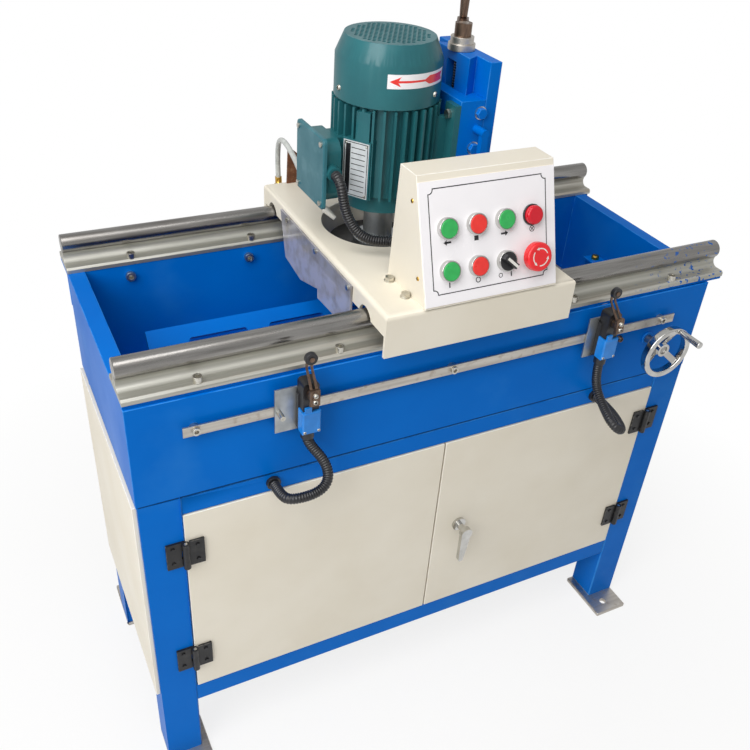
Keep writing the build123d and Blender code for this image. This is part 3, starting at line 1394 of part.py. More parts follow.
fan_cover = turned(cover_profile) - turned(inner_profile)
hole_rows = int(cover_hole_reach / cover_hole_pitch) + 2
cover_holes = []
for row in range(-hole_rows, hole_rows + 1):
    for column_step in range(-hole_rows, hole_rows + 1):
        dx = (column_step + row % 2 / 2) * cover_hole_pitch
        dy = row * cover_hole_pitch * math.sin(math.radians(60))
        if math.hypot(dx, dy) < cover_hole_reach:
            cover_holes.append(rod_z(motor_x + dx, head_y + dy, cover_top - cover_sheet, cover_top,
                                     cover_hole_radius))
save("fan_cover", fan_cover - cover_holes)

# Terminal box with its lid, four screws and the conduit gland
body_front = terminal_front + terminal_lid_overhang
body_rear = terminal_rear - terminal_lid_overhang
body_low = terminal_low + terminal_lid_overhang
body_high = terminal_high - terminal_lid_overhang
box_body = block(lid_left, terminal_right, body_front, body_rear, body_low, body_high)
box_body = fillet(box_body.edges().filter_by(Axis.X), terminal_round)
room = block(lid_left, terminal_right - terminal_wall, body_front + terminal_wall, body_rear - terminal_wall,
             body_low + terminal_wall, body_high - terminal_wall)
box_body -= fillet(room.edges().filter_by(Axis.X), terminal_round - terminal_wall)
lid = block(terminal_left, lid_left, terminal_front, terminal_rear, terminal_low, terminal_high)
lid = fillet(lid.edges().filter_by(Axis.X), 7)
lid = fillet(lid.edges().group_by(Axis.X)[0], 2)
box_screws = []
for y in (terminal_front + 9, terminal_rear - 9):
    for z in (terminal_low + 9, terminal_high - 9):
        box_screws.append(rod_x(terminal_left - 2.5, terminal_left, y, z, 4))
box_body -= rod_y(terminal_gland_x, body_front, body_front + terminal_wall, terminal_gland_z, conduit_root)
terminal_gland = rod_y(terminal_gland_x, terminal_gland_end, body_front, terminal_gland_z, gland_radius)
terminal_gland -= rod_y(terminal_gland_x, terminal_gland_end, body_front, terminal_gland_z, conduit_bore)
save("terminal_box", box_body, lid, *box_screws, terminal_gland)
save("motor_conduit", ribbed_hose("motor_conduit", motor_conduit_route))

# Spindle: motor shaft with rotor, fan, arbor sleeve and wheel flange
wheel_seat = flange_low
nut_high = wheel_seat - wheel_web
spindle = rod_z(motor_x, head_y, nut_high - 10, cover_top - 20, motor_shaft_radius)
spindle += rod_z(motor_x, head_y, fin_low + 16, fin_high - 12, motor_cavity_radius - 6)
spindle += rod_z(motor_x, head_y, arbor_low, arbor_high, arbor_radius)
spindle += rod_z(motor_x, head_y, flange_low, arbor_low, arbor_flange_radius)
spindle += rod_z(motor_x, head_y, nut_high - 10, nut_high, arbor_radius - 2)
fan_low = motor_body_top + 14
fan_radius = cover_dish_radius - 10
spindle += rod_z(motor_x, head_y, fan_low, fan_low + 3, fan_radius)
spindle += rod_z(motor_x, head_y, fan_low, fan_low + 24, motor_shaft_radius + 8)
for step in range(6):
    blade = block(motor_shaft_radius + 4, fan_radius, -1.2, 1.2, fan_low, fan_low + 24)
    spindle += Pos(motor_x, head_y, 0) * Rot(0, 0, step * 60) * blade
save("spindle", spindle)

# Cup wheel: a rim below a web, clamped under the flange
wheel = rod_z(motor_x, head_y, wheel_low, wheel_seat, wheel_radius)
wheel -= rod_z(motor_x, head_y, wheel_low, nut_high, wheel_radius - wheel_rim_width)
wheel -= rod_z(motor_x, head_y, nut_high, wheel_seat, wheel_bore)
save("grinding_wheel", wheel)

# Coolant hose, with the fitting on the rear skirt and the nozzle at its end
save("coolant_hose", plain_hose("coolant_hose", coolant_hose_route))
hose_start = Vector(*coolant_hose_route[0])
hose_end = Vector(*coolant_hose_route[-1])
hose_aim = hose_end - Vector(*coolant_hose_route[-2])
fitting = rod_y(hose_start.X, deck_rear, hose_start.Y + fitting_radius, fitting_z, fitting_radius)
rise = Vector(*coolant_hose_route[1]) - hose_start
foot_of_rise = hose_start - rise.normalized() * (hose_start.Z - fitting_z)
rise_length = (hose_start - foot_of_rise).length
fitting += Plane(origin=foot_of_rise, z_dir=rise) * Pos(0, 0, rise_length / 2) * Cylinder(
    hose_radius + 1.5, rise_length)
nozzle_plane = Plane(origin=hose_end, z_dir=hose_aim)
nozzle = nozzle_plane * Pos(0, 0, nozzle_length / 2) * Cone(hose_radius + 2, hose_radius - 1, nozzle_length)
nozzle -= nozzle_plane * Pos(0, 0, nozzle_length / 2) * Cylinder(hose_radius - 2.5, nozzle_length)
hose_plate_rear = deck_rear - 2 * hose_plate_thickness
hose_plate = prism_y([(deck_left + dx, deck_top + dz) for dx, dz in ((39, 0), (85, 0), (85, 30), (41, 68))],
                     hose_plate_rear - hose_plate_thickness, hose_plate_rear)
save("coolant_nozzle", fitting, nozzle, hose_plate)

# Travel drive: rack under the rear bearer, pinion, bracket, gearbox and motor
rack_pitch = math.pi * tooth_module
rack_teeth = int(rack_half_length / rack_pitch)
rack_points = []
for step in range(-rack_teeth, rack_teeth):
    middle = rack_x + (step + 0.5) * rack_pitch
    for share, drop in ((-0.34, -1.25), (-0.11, 0.8), (0.11, 0.8), (0.34, -1.25)):
        rack_points.append((middle + share * rack_pitch, rack_pitch_z - drop * tooth_module))
rack_points.append((rack_x + rack_half_length, rack_pitch_z + 1.25 * tooth_module))
rack_points.append((rack_x + rack_half_length, rack_pitch_z + rack_back))
rack_points.append((rack_x - rack_half_length, rack_pitch_z + rack_back))
rack_points.append((rack_x - rack_half_length, rack_pitch_z + 1.25 * tooth_module))
rack = prism_y(rack_points, rack_front, rack_front + rack_depth)
save("travel_rack", rack)

drive_plate_front = deck_rear
drive_plate_back = deck_rear + drive_plate_thickness
pinion_front = rack_front + pinion_rack_inset
pinion = Pos(rack_x, pinion_front + pinion_width, pinion_z) * Rot(90, 0, 0) * extrude(
    gear_face(pinion_teeth), pinion_width)
pinion += rod_y(rack_x, pinion_front, drive_plate_back + gearbox_length / 2, pinion_z, drive_shaft_radius)
save("travel_pinion", pinion)
drive_plate = block(rack_x - drive_plate_half, rack_x + drive_plate_half, drive_plate_front,
                    drive_plate_back, drive_plate_low, drive_plate_high)
drive_plate -= rod_y(rack_x, drive_plate_front, drive_plate_back, pinion_z, drive_shaft_radius + running)
gearbox_back = drive_plate_back + gearbox_length
gearbox = block(rack_x - gearbox_half, rack_x + gearbox_half, drive_plate_back, gearbox_back,
                pinion_z - gearbox_half, pinion_z + gearbox_half)
gearbox -= rod_y(rack_x, drive_plate_back, drive_plate_back + gearbox_length / 2 + 1, pinion_z,
                 drive_shaft_radius + running)
drive_motor = rod_y(rack_x, gearbox_back, gearbox_back + drive_motor_length, pinion_z, drive_motor_radius)
drive_screws = []
for x in (rack_x - 45, rack_x + 45):
    for z in (skirt_low + 16, skirt_low + 44):
        drive_screws.append(rod_y(x, drive_plate_back, drive_plate_back + 6, z, 6))
save("travel_gearmotor", drive_plate, gearbox, drive_motor, *drive_screws)
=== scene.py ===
import json
import math
import bmesh
import bpy
from mathutils import Matrix, Vector


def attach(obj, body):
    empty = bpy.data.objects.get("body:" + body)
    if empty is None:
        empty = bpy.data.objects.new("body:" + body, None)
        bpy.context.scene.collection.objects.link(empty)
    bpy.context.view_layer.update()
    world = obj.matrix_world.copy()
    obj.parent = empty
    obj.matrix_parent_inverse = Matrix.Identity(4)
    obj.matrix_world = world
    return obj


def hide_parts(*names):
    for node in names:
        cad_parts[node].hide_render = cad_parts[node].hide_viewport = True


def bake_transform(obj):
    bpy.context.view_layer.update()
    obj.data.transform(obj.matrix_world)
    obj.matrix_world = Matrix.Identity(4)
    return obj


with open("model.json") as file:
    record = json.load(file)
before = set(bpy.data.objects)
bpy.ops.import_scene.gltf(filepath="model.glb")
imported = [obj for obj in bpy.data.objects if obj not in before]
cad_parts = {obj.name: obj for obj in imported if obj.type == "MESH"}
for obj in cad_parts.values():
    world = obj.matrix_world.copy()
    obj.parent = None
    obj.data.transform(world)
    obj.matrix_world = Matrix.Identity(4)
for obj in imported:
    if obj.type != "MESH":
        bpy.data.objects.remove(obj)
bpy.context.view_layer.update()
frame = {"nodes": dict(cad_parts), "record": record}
nodes = frame["nodes"]
scene = bpy.context.scene
scene.view_settings.view_transform = "Standard"
bodies = frame["record"]["behaviour"]["bodies"]
bodyOf = {node: body for body, members in bodies.items() for node in members}
mm = 0.001

# Camera at the photograph's viewing angle, in metres, degrees and millimetres of film
photoView = {
    "place": (-0.63397, -1.09463, 1.47381), "yaw": 28.604, "pitch": 34.923, "roll": 4.338,
    "lens": 41.283, "sensor": 36.0}
yaw, pitch, roll = (math.radians(photoView[turn]) for turn in ("yaw", "pitch", "roll"))
ahead = Vector((
    math.sin(yaw) * math.cos(pitch), math.cos(yaw) * math.cos(pitch), -math.sin(pitch)))
level = Vector((math.cos(yaw), -math.sin(yaw), 0))
upward = level.cross(ahead)
cameraRight = level * math.cos(roll) + upward * math.sin(roll)
cameraUp = upward * math.cos(roll) - level * math.sin(roll)
cameraData = bpy.data.cameras.new("photoCamera")
cameraData.lens = photoView["lens"]
cameraData.sensor_width = photoView["sensor"]
camera = bpy.data.objects.new("photoCamera", cameraData)
camera.matrix_world = Matrix.Translation(photoView["place"]) @ Matrix(
    (cameraRight, cameraUp, -ahead)).transposed().to_4x4()
scene.collection.objects.link(camera)
scene.camera = camera
print("camera placed")


def hexColour(code):
    parts = [int(code[at:at + 2], 16) / 255 for at in (1, 3, 5)]
    linear = [part / 12.92 if part <= 0.04045 else ((part + 0.055) / 1.055) ** 2.4
              for part in parts]
    return (*linear, 1.0)


def addNode(tree, kind, inputs=None, **settings):
    node = tree.nodes.new(kind)
    for name, value in settings.items():
        setattr(node, name, value)
    for socket, value in (inputs or {}).items():
        if isinstance(value, bpy.types.NodeSocket):
            tree.links.new(value, node.inputs[socket])
        else:
            node.inputs[socket].default_value = value
    return node


def startMaterial(name, sockets):
    material = bpy.data.materials.new(name)
    material.use_nodes = True
    tree = material.node_tree
    shader = tree.nodes["Principled BSDF"]
    for socket, value in sockets.items():
        shader.inputs[socket].default_value = value
    place = addNode(tree, "ShaderNodeTexCoord").outputs["Object"]
    return material, tree, shader, place


# Two levels of a noise between which each kind of mark fades in
fade = {"cloud": (0.3, 0.7), "dust": (0.56, 0.72), "stain": (0.55, 0.72), "smudge": (0.45, 0.75),
        "splash": (0.6, 0.64)}
spotDetail = 4.0


def spots(tree, place, size, levels, strength=1.0):
    # Noise of a size in millimetres, stretched to run from 0 to its strength between two levels
    low, high = levels
    noise = addNode(tree, "ShaderNodeTexNoise", {
        "Vector": place, "Scale": 1000 / size, "Detail": spotDetail})
    return addNode(tree, "ShaderNodeMapRange", {
        "Value": noise.outputs["Fac"], "From Min": low, "From Max": high,
        "To Max": strength}).outputs["Result"]


def layColours(tree, base, layers):
    # Lays each colour over those before it, by its own pattern
    colour = hexColour(base)
    for pattern, code in layers:
        colour = addNode(tree, "ShaderNodeMix", {
            0: pattern, 6: colour, 7: hexColour(code)}, data_type="RGBA").outputs[2]
    return colour


def finishSurface(tree, shader, kind, look, layers, marks, stain=None):
    # Colour, a roughness that follows the first layer and any stain, and a fine relief
    colour = layColours(tree, look["colour"], layers)
    rough = addNode(tree, "ShaderNodeMapRange", {
        "Value": layers[0][0], "To Min": look["rough"] - kind["smoother"],
        "To Max": look["rough"] + kind["rougher"]}).outputs["Result"]
    if stain is not None:
        rough = addNode(tree, "ShaderNodeMath", {
            0: stain, 1: kind["stainRough"], 2: rough}, operation="MULTIPLY_ADD").outputs[0]
    bump = addNode(tree, "ShaderNodeBump", {
        "Height": marks.outputs["Fac"], "Strength": look["relief"], "Distance": kind["depth"]})
    tree.links.new(colour, shader.inputs["Base Color"])
    tree.links.new(rough, shader.inputs["Roughness"])
    tree.links.new(bump.outputs["Normal"], shader.inputs["Normal"])


paint = {"coatRough": 0.12, "smoother": 0.05, "rougher": 0.07, "detail": 2.0, "depth": 0.0004}


def coatedMetal(look):
    # Paint on metal: cloudy colour, dust in patches, edges paled by wear and by a painted
    # highlight, and the skin's own waviness
    material, tree, shader, place = startMaterial(look["name"], {
        "Specular IOR Level": look["shine"], "Coat Weight": look["coat"],
        "Coat Roughness": paint["coatRough"]})
    cloud = spots(tree, place, look["cloudSize"], fade["cloud"])
    dust = spots(tree, place, look["dustSize"], fade["dust"], look["dust"])
    # The rounded edges take the worn colour, which on the blue and cream paints is partly a painted
    # highlight
    edge = addNode(tree, "ShaderNodeAttribute", attribute_name="edgeWearAndHighlight").outputs["Fac"]
    edgePatch = spots(tree, place, look["edgePatchSize"], look["edgePatchLevels"], look["wearAndHighlight"])
    wornAndHighlit = addNode(tree, "ShaderNodeMath", {0: edge, 1: edgePatch}, operation="MULTIPLY").outputs[0]
    skin = addNode(tree, "ShaderNodeTexNoise", {
        "Vector": place, "Scale": 1000 / look["skinSize"], "Detail": paint["detail"]})
    layers = [(cloud, look["shade"]), (dust, look["dustColour"]), (wornAndHighlit, look["wornAndHighlitColour"])]
    finishSurface(tree, shader, paint, look, layers, skin)
    return material


metal = {"smoother": 0.06, "rougher": 0.08, "stainRough": 0.35, "detail": 5.0, "depth": 0.0002}
# Splashes of frame paint on the rails, 7 mm wide, towards the front right-hand end
splash = {"size": 7, "towards": (1, -1, 0), "from": 0.5, "to": 0.62}


def bareMetal(look):
    # Metal with the marks of its making drawn out along one axis, and stains on top
    material, tree, shader, place = startMaterial(look["name"], {"Metallic": 1.0})
    drawn = addNode(tree, "ShaderNodeMapping", {
        "Vector": place, "Scale": look["stretch"]}).outputs["Vector"]
    marks = addNode(tree, "ShaderNodeTexNoise", {
        "Vector": drawn, "Scale": 1000 / look["markSize"], "Detail": metal["detail"]})
    low, high = fade["cloud"]
    streak = addNode(tree, "ShaderNodeMapRange", {
        "Value": marks.outputs["Fac"], "From Min": low, "From Max": high}).outputs["Result"]
    stained = drawn if "longStains" in look else place
    stain = spots(tree, stained, look["stainSize"], fade["stain"], look["stain"])
    layers = [(streak, look["shade"]), (stain, look["stainColour"])]
    if "speckColour" in look:
        reach = addNode(tree, "ShaderNodeVectorMath", {
            0: place, 1: splash["towards"]}, operation="DOT_PRODUCT").outputs["Value"]
        share = addNode(tree, "ShaderNodeMapRange", {
            "Value": reach, "From Min": splash["from"], "From Max": splash["to"]}).outputs["Result"]
        specks = addNode(tree, "ShaderNodeMath", {
            0: spots(tree, place, splash["size"], fade["splash"]), 1: share},
            operation="MULTIPLY").outputs[0]
        layers.append((specks, look["speckColour"]))
    finishSurface(tree, shader, metal, look, layers, marks, stain)
    return material


plastic = {"ior": 1.5, "coatRough": 0.08, "smoother": 0.04, "rougher": 0.06, "depth": 0.0002}


def mouldedPlastic(look):
    # Moulded plastic: even colour with a faint cloud, fine spark-eroded grain, and a soft gloss
    material, tree, shader, place = startMaterial(look["name"], {
        "IOR": plastic["ior"], "Coat Weight": look["coat"],
        "Coat Roughness": plastic["coatRough"]})
    cloud = spots(tree, place, look["cloudSize"], fade["cloud"])
    grain = addNode(tree, "ShaderNodeTexNoise", {
        "Vector": place, "Scale": 1000 / look["grainSize"]})
    finishSurface(tree, shader, plastic, look, [(cloud, look["shade"])], grain)
    return material


# Enamel sprayed on welded steel: deep even blue, hazy patches, faint orange peel, and paler edges
# that are partly rubbed and partly a painted highlight
blueLook = {
    "name": "glossEnamelBlue", "colour": "#006FCF", "shade": "#0068C6", "cloudSize": 160,
    "rough": 0.36, "coat": 0.0, "shine": 0.06, "dust": 0.2, "dustSize": 150,
    "dustColour": "#3F8FD8", "wearAndHighlight": 0.7, "edgePatchSize": 30, "edgePatchLevels": (0.38, 0.55),
    "wornAndHighlitColour": "#3C8EDC", "skinSize": 5, "relief": 0.05}
blueEnamel = coatedMetal(blueLook)
# The same enamel, much darker and not worn, as painted shadow along the seam
seamShadowPaint = coatedMetal({
    **blueLook, "name": "seamShadowBlue", "colour": "#023E74", "shade": "#02356A",
    "cloudSize": 60, "rough": 0.4, "dust": 0.1, "dustSize": 60, "dustColour": "#2A5F96",
    "wearAndHighlight": 0.0})
# Powder coat on folded sheet: warm cream, satin, fine pebbled skin, and a painted highlight on its
# edges
creamPowder = coatedMetal({
    "name": "powderCoatCream", "colour": "#EFE8D8", "shade": "#E9E1CF", "cloudSize": 120,
    "rough": 0.45, "coat": 0.05, "shine": 0.35, "dust": 0.03, "dustSize": 45,
    "dustColour": "#C9BEA8", "wearAndHighlight": 0.7, "edgePatchSize": 40, "edgePatchLevels": (0.3, 0.45),
    "wornAndHighlitColour": "#FFFCF4", "skinSize": 2.5, "relief": 0.06})
# Enamel over a sand-cast shell: deep teal with the casting's grain under the gloss
tealEnamel = coatedMetal({
    "name": "castEnamelTeal", "colour": "#276A70", "shade": "#225F66", "cloudSize": 50,
    "rough": 0.38, "coat": 0.2, "shine": 0.3, "dust": 0.0, "dustSize": 28,
    "dustColour": "#6F8F8C", "wearAndHighlight": 0.35, "edgePatchSize": 9, "edgePatchLevels": (0.45, 0.6),
    "wornAndHighlitColour": "#7FA5A6", "skinSize": 3, "relief": 0.08})
# The same enamel on the smooth lid: paler, with a film of dust
tealLid = coatedMetal({
    "name": "sheetEnamelTeal", "colour": "#37747F", "shade": "#306A75", "cloudSize": 40,
    "rough": 0.4, "coat": 0.1, "shine": 0.3, "dust": 0.2, "dustSize": 30,
    "dustColour": "#76A3AB", "wearAndHighlight": 0.5, "edgePatchSize": 12, "edgePatchLevels": (0.35, 0.5),
    "wornAndHighlitColour": "#8DB4BA", "skinSize": 3, "relief": 0.08})
# Black paint on stamped steel hinges: dull, with grey rubbed edges; also painted shade on the
# wheel's upward faces
blackPaintAndShade = coatedMetal({
    "name": "stovedPaintBlack", "colour": "#1B1B1D", "shade": "#141416", "cloudSize": 30,
    "rough": 0.42, "coat": 0.1, "shine": 0.4, "dust": 0.3, "dustSize": 14,
    "dustColour": "#4A4844", "wearAndHighlight": 0.6, "edgePatchSize": 6, "edgePatchLevels": (0.45, 0.6),
    "wornAndHighlitColour": "#77736C", "skinSize": 2, "relief": 0.1})
# Rusted plate: matt brown with darker blooms
rustedPlate = coatedMetal({
    "name": "rustedSteel", "colour": "#7A4E36", "shade": "#5B3B2B", "cloudSize": 16,
    "rough": 0.75, "coat": 0.0, "shine": 0.2, "dust": 0.5, "dustSize": 9,
    "dustColour": "#97785C", "wearAndHighlight": 0.5, "edgePatchSize": 5, "edgePatchLevels": (0.45, 0.6),
    "wornAndHighlitColour": "#A98F7A", "skinSize": 1.5, "relief": 0.3})
# Ground shafting: mid grey with soft bands from the grinding, and a brown oil film
groundSteel = bareMetal({
    "name": "groundSteel", "colour": "#A6A4A1", "shade": "#7C7A77", "stretch": (0.06, 1, 1),
    "markSize": 7, "rough": 0.24, "stain": 0.35, "stainSize": 22, "stainColour": "#54463A",
    "longStains": True, "relief": 0.05, "speckColour": "#1568C0"})
# Extruded aluminium left as milled: pale and soft, die lines along it, a few yellowed spots
millAluminium = bareMetal({
    "name": "millAluminium", "colour": "#C6C5BD", "shade": "#AEADA5", "stretch": (0.03, 1, 1),
    "markSize": 5, "rough": 0.55, "stain": 0.4, "stainSize": 34, "stainColour": "#94754E",
    "longStains": True, "relief": 0.06, "speckColour": "#1568C0"})
# Zinc plate on turned screws: bright grey with a yellowish bloom
zincPlate = bareMetal({
    "name": "zincPlate", "colour": "#DAD8D0", "shade": "#BDB9AE", "stretch": (1, 1, 1),
    "markSize": 4, "rough": 0.3, "stain": 0.3, "stainSize": 6, "stainColour": "#A79C80",
    "relief": 0.08})
# Cold-rolled strip, unpainted: warm grey, rolling lines along it, rust freckles
rolledSteel = bareMetal({
    "name": "rolledSteel", "colour": "#CFCAC2", "shade": "#B5AFA7", "stretch": (0.05, 1, 1),
    "markSize": 6, "rough": 0.4, "stain": 0.35, "stainSize": 11, "stainColour": "#8A7058",
    "relief": 0.08})
# Machined steel: turned and milled faces, light grey with an oil film
machinedSteel = bareMetal({
    "name": "machinedSteel", "colour": "#B5B3AF", "shade": "#999793", "stretch": (1, 1, 0.2),
    "markSize": 3, "rough": 0.34, "stain": 0.3, "stainSize": 15, "stainColour": "#6E655B",
    "relief": 0.1})
# Blackened socket steel: nearly black with a warm grey sheen
blackOxide = bareMetal({
    "name": "blackOxide", "colour": "#3A3937", "shade": "#2A2928", "stretch": (1, 1, 1),
    "markSize": 3, "rough": 0.4, "stain": 0.3, "stainSize": 8, "stainColour": "#5B5048",
    "relief": 0.08})
# Yellow-passivated stamped steel: dark bronze brown
bronzeSteel = bareMetal({
    "name": "passivatedSteel", "colour": "#86705F", "shade": "#66544A", "stretch": (1, 1, 0.2),
    "markSize": 3, "rough": 0.34, "stain": 0.4, "stainSize": 8, "stainColour": "#473A32",
    "relief": 0.06})
# Polished chrome: a mirror with faint polishing haze
chromePlate = bareMetal({
    "name": "chromePlate", "colour": "#D2D1CE", "shade": "#C2C1BD", "stretch": (1, 1, 1),
    "markSize": 18, "rough": 0.1, "stain": 0.15, "stainSize": 12, "stainColour": "#8C857B",
    "relief": 0.02})
# Turned brass: warm yellow with a brown bloom
turnedBrass = bareMetal({
    "name": "turnedBrass", "colour": "#DDB45C", "shade": "#C0933F", "stretch": (1, 1, 1),
    "markSize": 3, "rough": 0.3, "stain": 0.4, "stainSize": 6, "stainColour": "#6B4F25",
    "relief": 0.05})
# Galvanised sheet: cool grey with large zinc flowers
galvanisedSheet = bareMetal({
    "name": "galvanisedSheet", "colour": "#B9BDBF", "shade": "#A2A6A8", "stretch": (1, 1, 1),
    "markSize": 20, "rough": 0.42, "stain": 0.2, "stainSize": 40, "stainColour": "#8F8A80",
    "relief": 0.04})
# Black nylon of conduits, rollers and switch heads: dull, with a soft sheen on the ribs
blackNylon = mouldedPlastic({
    "name": "nylonBlack", "colour": "#19191B", "shade": "#222225", "cloudSize": 20,
    "rough": 0.38, "coat": 0.1, "grainSize": 1.2, "relief": 0.1})
# Glass-filled switch cover: bright blue, slightly dull
blueAbs = mouldedPlastic({
    "name": "absBlue", "colour": "#1C86DE", "shade": "#1779CC", "cloudSize": 15,
    "rough": 0.36, "coat": 0.15, "grainSize": 1.0, "relief": 0.08})
# Acetal button caps: clear strong colour under a smooth gloss
capLook = {"cloudSize": 10, "rough": 0.3, "coat": 0.4, "grainSize": 0.8, "relief": 0.04}
greenCap = mouldedPlastic({
    **capLook, "name": "acetalGreen", "colour": "#2BB557", "shade": "#25A54E"})
redCap = mouldedPlastic({
    **capLook, "name": "acetalRed", "colour": "#F2332A", "shade": "#E42A22"})
# Nylon of the mushroom button: deeper red, a little duller
mushroomRed = mouldedPlastic({
    "name": "nylonRed", "colour": "#EE2229", "shade": "#E01B22", "cloudSize": 12,
    "rough": 0.34, "coat": 0.25, "grainSize": 0.9, "relief": 0.05})
# Natural nylon: warm white, waxy
whiteNylon = mouldedPlastic({
    "name": "nylonWhite", "colour": "#E9E7E0", "shade": "#DEDBD2", "cloudSize": 12,
    "rough": 0.4, "coat": 0.1, "grainSize": 0.9, "relief": 0.05})
# Housings of the switchgear: light grey, matt
greyPlastic = mouldedPlastic({
    "name": "absGrey", "colour": "#C9CAC6", "shade": "#BFC0BB", "cloudSize": 25,
    "rough": 0.42, "coat": 0.05, "grainSize": 1.2, "relief": 0.1})
# Film-covered plate: cool white, flat, with a light sheen
panelFilm = mouldedPlastic({
    "name": "polyesterFilmWhite", "colour": "#FBF8FA", "shade": "#F6F3F5", "cloudSize": 70,
    "rough": 0.3, "coat": 0.2, "grainSize": 1.5, "relief": 0.02})
# Screen-printed ink: flat black
panelInk = mouldedPlastic({
    "name": "printInkBlack", "colour": "#161619", "shade": "#202024", "cloudSize": 10,
    "rough": 0.45, "coat": 0.0, "grainSize": 1.0, "relief": 0.04})
# Rating plate of lacquered aluminium: even silver grey, with no mirror in it
platePrint = mouldedPlastic({
    "name": "lacqueredAluminium", "colour": "#D3D7D8", "shade": "#C3C8CA", "cloudSize": 9,
    "rough": 0.34, "coat": 0.2, "grainSize": 1.0, "relief": 0.03})
# Soft vinyl hose: pale grey, glossy
paleHose = mouldedPlastic({
    "name": "pvcHosePale", "colour": "#C9CCC8", "shade": "#B4B7B2", "cloudSize": 9,
    "rough": 0.22, "coat": 0.3, "grainSize": 2.0, "relief": 0.04})
# Bonded grit: pale, rough, with darker grains between
abrasive = mouldedPlastic({
    "name": "bondedAlumina", "colour": "#D9CFC4", "shade": "#8F857A", "cloudSize": 1.5,
    "rough": 0.9, "coat": 0.0, "grainSize": 0.9, "relief": 0.9})
acrylic = {"ior": 1.49, "smudgeRough": 0.15}


def clearSheet(look):
    # Cast acrylic that lets part of the light through, dulled by smudges
    material, tree, shader, place = startMaterial(look["name"], {
        "Transmission Weight": look["clear"], "IOR": acrylic["ior"]})
    haze = spots(tree, place, look["smudgeSize"], fade["smudge"])
    colour = layColours(tree, look["tint"], [(haze, look["smudge"])])
    rough = addNode(tree, "ShaderNodeMapRange", {
        "Value": haze, "To Min": look["rough"],
        "To Max": look["rough"] + acrylic["smudgeRough"]}).outputs["Result"]
    tree.links.new(colour, shader.inputs["Base Color"])
    tree.links.new(rough, shader.inputs["Roughness"])
    return material


# Scratched guard sheet: pale grey haze with brown smudges, little more than half see-through
clearAcrylic = clearSheet({
    "name": "castAcrylicHazy", "tint": "#E9E8F0", "smudge": "#C9C0B4", "smudgeSize": 25,
    "clear": 0.62, "rough": 0.05})
# Dyed lens over a lamp that is off: deep bright red
lampLens = clearSheet({
    "name": "acrylicLensRed", "tint": "#E8102A", "smudge": "#D80C24", "smudgeSize": 20,
    "clear": 0.25, "rough": 0.12})
print("materials made", len(bpy.data.materials))


def addPiece(bm, name, body, materials, stands=(), sharp=38):
    mesh = bpy.data.meshes.new(name)
    bm.to_mesh(mesh)
    bm.free()
    for material in materials:
        mesh.materials.append(material)
    mesh.shade_smooth()
    mesh.set_sharp_from_angle(angle=math.radians(sharp))
    piece = bpy.data.objects.new(name, mesh)
    scene.collection.objects.link(piece)
    even = piece.modifiers.new("evenNormals", "WEIGHTED_NORMAL")
    even.keep_sharp = True
    if body:
        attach(piece, body)
    if stands:
        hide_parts(*stands)
    return piece


# Cords: each route repeats the CAD's points, in millimetres
cordSetup = {
    "leftConduit": {
        "node": "left_conduit", "ribbed": True, "route": [
            (-256, -213, 692), (-256, -213, 682), (-233, -229, 650), (-230, -239, 622),
            (-248, -243, 605), (-290, -243, 605), (-300, -224, 600.5), (-300, -196, 600.5)]},
    "rightConduit": {
        "node": "right_conduit", "ribbed": True, "route": [
            (270, -213, 692), (270, -213, 654), (272, -240, 624), (264, -284, 610),
            (288, -290, 594), (300, -240, 600.5), (300, -196, 600.5)]},
    "motorConduit": {
        "node": "motor_conduit", "ribbed": True, "route": [
            (-128, 2, 985), (-128, -19, 985), (-123, -26, 938), (-106, -36, 905),
            (-84, -48, 894), (-50, -65, 897), (-50, -102, 897)]},
    "coolantHose": {
        "node": "coolant_hose", "ribbed": False, "route": [
            (-111, 281, 872), (-114, 279, 922), (-122, 240, 962), (-118, 186, 944),
            (-117, 127, 902), (-99, 102, 885)]},
}
rib = {"crest": 8.0, "root": 6.7, "pitch": 4.0, "wave": (0.0, 0.75, 1.0, 0.75)}
hose = {"radius": 4.5, "spacing": 0.004}
cordSegments = 20
cordSharp = 80


def routePoints(name, route):
    # A smooth line on the route's points, read back as the points of an unbevelled curve
    data = bpy.data.curves.new(name + "Line", "CURVE")
    data.dimensions = "3D"
    spline = data.splines.new("NURBS")
    spline.points.add(len(route) - 1)
    for point, place in zip(spline.points, route):
        point.co = (*[value * mm for value in place], 1)
    spline.order_u = 3
    spline.use_endpoint_u = True
    spline.resolution_u = 40
    line = bpy.data.objects.new(name + "Line", data)
    scene.collection.objects.link(line)
    drawn = line.evaluated_get(bpy.context.evaluated_depsgraph_get())
    mesh = bpy.data.meshes.new_from_object(drawn)
    points = [vert.co.copy() for vert in mesh.vertices]
    bpy.data.objects.remove(line)
    bpy.data.meshes.remove(mesh)
    bpy.data.curves.remove(data)
    return points


def along(points, stations):
    # Places and directions at given lengths along a line
    found = []
    at = 0
    passed = 0.0
    for station in stations:
        while at < len(points) - 2 and passed + (points[at + 1] - points[at]).length < station:
            passed += (points[at + 1] - points[at]).length
            at += 1
        run = points[at + 1] - points[at]
        share = min(1.0, (station - passed) / run.length)
        found.append((points[at] + run * share, run.normalized()))
    return found


def makeTube(bm, rings, segments):
    # Rings of given radius bridged one to the next, closed at both ends
    before = None
    side = None
    first = None
    for place, heading, radius in rings:
        side = heading.orthogonal() if side is None else side - heading * side.dot(heading)
        side.normalize()
        turn = Matrix((side, heading.cross(side), heading)).transposed().to_4x4()
        ring = bmesh.ops.create_circle(bm, segments=segments, radius=radius,
                                       matrix=Matrix.Translation(place) @ turn)["verts"]
        edges = list({edge for vert in ring for edge in vert.link_edges})
        if before:
            bmesh.ops.bridge_loops(bm, edges=before + edges)
        first = first or edges
        before = edges
    bmesh.ops.contextual_create(bm, geom=first)
    bmesh.ops.contextual_create(bm, geom=before)
    bmesh.ops.recalc_face_normals(bm, faces=bm.faces)


